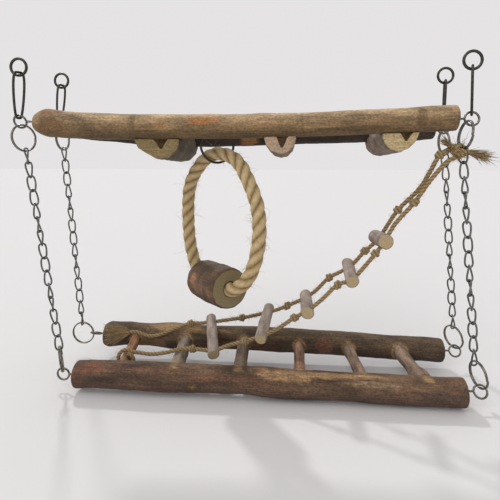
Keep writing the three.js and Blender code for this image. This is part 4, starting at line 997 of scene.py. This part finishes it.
dark_wire = wire_finish("dark_wire", (0.075, 0.07, 0.058), 0.35, 0.5)
circle = np.linspace(0, 2 * np.pi, 48, endpoint=False)
for corner in corners:
    centre = centre_of("hang_ring_" + corner)
    ring_line = centre + hang_ring_mid * np.stack([np.cos(circle), 0 * circle, np.sin(circle)], axis=1)
    ring = skinned("hang_ring_wire_" + corner, [closed_wire(ring_line, hang_wire / 2, 14)], dark_wire)
    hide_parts("hang_ring_" + corner)
    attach(ring, "hangers")
    hook_y = centre_of("hook_" + corner)[1]
    hook_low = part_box("hook_" + corner)[0][2] / mm
    head = np.array((centre[0], hook_y, centre[2] - hang_ring_mid + (hang_wire + hook_wire) / 2 + hook_play))
    foot = np.array((eye_centre("upper_eye_" + corner, corner)[0], hook_y, hook_low + hook_wire / 2))
    reach = foot - head
    length = np.linalg.norm(reach)
    t = np.linspace(0, 2 * np.pi, 96, endpoint=False)
    down = length * (1 - np.cos(t)) / 2
    width = hook_head_width + (hook_foot_width - hook_head_width) * down / length
    out = width / 2 * np.sign(np.sin(t)) * np.abs(np.sin(t)) ** 0.42
    pear = np.stack([out, 0 * out, -down], axis=1)
    hook_line = pear @ hanging_turn(reach / length, hook_turns[corner]).T + head
    hook = skinned("hook_wire_" + corner, [closed_wire(hook_line, hook_wire / 2, 14)], dark_wire)
    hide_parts("hook_" + corner)
    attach(hook, "hook_" + corner)


# The swing's metal ring: one turn of the same dark wire, welded shut. It hangs in a screw eye
# under the upper frame and carries the rope.
swing_turn = 0.59
swing_side = np.array((math.cos(swing_turn), math.sin(swing_turn), 0))
swing_round = np.cos(circle)[:, None] * swing_side + np.sin(circle)[:, None] * np.array((0, 0, 1))
swing_line = swing_centre + swing_ring_mid * swing_round
swing_hoop = skinned("swing_hoop", [closed_wire(swing_line, swing_wire / 2, 14)], dark_wire)
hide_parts("swing_ring")
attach(swing_hoop, "swing_ring")


# Screw eyes of nickel-plated wire: a loop bent round until it nearly closes, and a threaded
# shank that is screwed into the end of a rail. One more is screwed into the inner side of the
# upper front rail, for the swing.
nickel = wire_finish("nickel_plate", (0.21, 0.195, 0.165), 0.28, 0.5)
swing_eye_share, swing_eye_sink, swing_eye_reach = -0.057, 0.07, 8.4
# How far each corner's eyes stand out, in eye widths, and how far their loops are turned.
eye_plans = {
    "front_left": (1.045, 0.98, 0.35, 0), "front_right": (0.946, 1.03, 0.2, 0.6),
    "rear_left": (0.82, 0.88, 0.2, 1), "rear_right": (0.72, 1.005, 0.2, 0.5),
}


def screw_eye(node, centre, shank, up, reach):
    """An eye whose loop lies in the plane of shank and up, with its shank towards the wood."""
    shank, up = (np.array(v, float) / np.linalg.norm(v) for v in (shank, up))
    loop = [
        centre + eye_mid * (shank * math.cos(a) + up * math.sin(a))
        for a in np.linspace(2 * np.pi - 0.06, 0.16, 44)
    ]
    shank_radius, thread_radius, thread_height, screwed_in = 0.7, 0.62, 0.16, 6.6
    depths = np.linspace(5.0, reach + screwed_in, 40)
    thread = []
    for d in depths:
        threaded = thread_radius + thread_height * math.sin(d * 6)
        thread.append(shank_radius if d < reach - 2.5 else threaded)
    line = np.array(loop + [centre + shank * d for d in depths])
    radii = [eye_wire / 2] * len(loop) + thread
    return skinned(node + "_wire", [(round_rows(line, radii, 12), False, 1.0)], nickel)


for corner in corners:
    upper_reach, deck_reach, upper_turn, deck_turn = eye_plans[corner]
    side = -1 if corner.endswith("left") else 1
    for node, reach, turn, body in (
        ("upper_eye_" + corner, upper_reach, upper_turn, "upper_frame"),
        ("deck_eye_" + corner, deck_reach, deck_turn, "lower_frame"),
    ):
        up = (0, side * math.sin(turn), math.cos(turn))
        eye_width = 2 * eye_mid + eye_wire
        eye = screw_eye(node, eye_centre(node, corner), (-side, 0, 0), up, reach * eye_width)
        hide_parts(node)
        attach(eye, body)
swing_eye_x = upper_shift + swing_eye_share * upper_length
swing_eye_z = upper_z - swing_eye_sink * (2 * eye_mid + eye_wire)
swing_eye_place = np.array((swing_eye_x, -rail_y + upper_radius + swing_eye_reach, swing_eye_z))
swing_eye = screw_eye("swing_eye", swing_eye_place, (0, -1, 0), (0, 0, 1), swing_eye_reach)
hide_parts("swing_eye")
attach(swing_eye, "upper_frame")


# Split rings: two turns of springy nickel-plated wire side by side. They join the screw eyes to
# the chains. The ladder pulls the front right upper one inwards.
split_ring_mid, split_ring_wire, split_ring_gap, ladder_pull = 8.7, 1.1, 0.43, 0.26
ring_turns = {
    "front_left": (1.2, 2.05), "front_right": (-1.5, -1.35),
    "rear_left": (1.5, 0), "rear_right": (-1.45, -1.1),
}


def chain_course(corner):
    """The middles of the split rings at a chain's ends, its line, and the line of its upper ring."""
    upper, deck = centre_of("upper_split_ring_" + corner), centre_of("deck_split_ring_" + corner)
    line = (deck - upper) / np.linalg.norm(deck - upper)
    pulled = line - np.array((ladder_pull if corner == "front_right" else 0, 0, 0))
    return upper, deck, line, pulled / np.linalg.norm(pulled)


turns = np.linspace(0, 2, 110)
wide = split_ring_mid - 0.05 * np.abs(turns - 1)
beside = np.clip((turns - 1) * 1.5, -split_ring_gap, split_ring_gap)
double_turn = np.stack([wide * np.cos(2 * np.pi * turns), beside, wide * np.sin(2 * np.pi * turns)], axis=1)
for corner in corners:
    upper, deck, line, pulled = chain_course(corner)
    for node, centre, hanging, turn in (
        ("upper_split_ring_" + corner, upper, pulled, ring_turns[corner][0]),
        ("deck_split_ring_" + corner, deck, line, ring_turns[corner][1]),
    ):
        coil = double_turn @ hanging_turn(hanging, turn).T + centre
        rows = round_rows(coil, split_ring_wire / 2, 10)
        ring = skinned(node + "_wire", [(rows, False, 1.0)], nickel)
        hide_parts(node)
        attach(ring, "chain_" + corner)


# Four chains carry the deck: oval links of steel wire, each twisted about its own length, that
# are closed through one another. The whole chain is turned so that its ends suit the split rings.
link_pitch, link_wire, link_width, link_twist, link_play = 9.35, 1.2, 6.1, 0.3 * math.pi, 0.6
chain_steel = wire_finish("chain_steel", (0.19, 0.19, 0.18), 0.25, 0.4)
for corner in corners:
    upper, deck, line, pulled = chain_course(corner)
    link_seat = (split_ring_wire + link_wire) / 2 + link_play
    top = upper + pulled * split_ring_mid - line * link_seat
    foot = deck - line * (split_ring_mid - link_seat)
    span, bite = np.linalg.norm(foot - top), link_wire * 0.74
    count = round((span - bite) / link_pitch)
    pitch = (span - bite) / count
    upper_turn, deck_turn = ring_turns[corner]
    start_turn = upper_turn + math.pi / 2 - link_twist / 2
    whole_turn = deck_turn + math.pi / 2 + link_twist / 2 - start_turn
    usual_turn = (count - 1) * (math.pi / 2 - link_twist)
    step = (whole_turn - math.pi * round((whole_turn - usual_turn) / math.pi)) / (count - 1)
    half_length, half_width = (pitch + bite) / 2 + 0.13 * link_wire, (link_width - link_wire) / 2
    t = np.linspace(0, 2 * np.pi, 36, endpoint=False)
    flat_x = half_width * np.sign(np.cos(t)) * np.abs(np.cos(t)) ** 0.6
    flat_z = half_length * np.sign(np.sin(t)) * np.abs(np.sin(t)) ** 0.8
    twist = link_twist * flat_z / (2 * half_length)
    link = np.stack([flat_x * np.cos(twist), flat_x * np.sin(twist), flat_z], axis=1)
    blocks = []
    for i in range(count):
        centre = top + line * ((pitch + bite) / 2 + i * pitch)
        link_line = link @ hanging_turn(line, start_turn + i * step).T + centre
        blocks.append(closed_wire(link_line, link_wire / 2, 9))
    chain = skinned("chain_links_" + corner, blocks, chain_steel)
    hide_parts("chain_" + corner)
    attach(chain, "chain_" + corner)
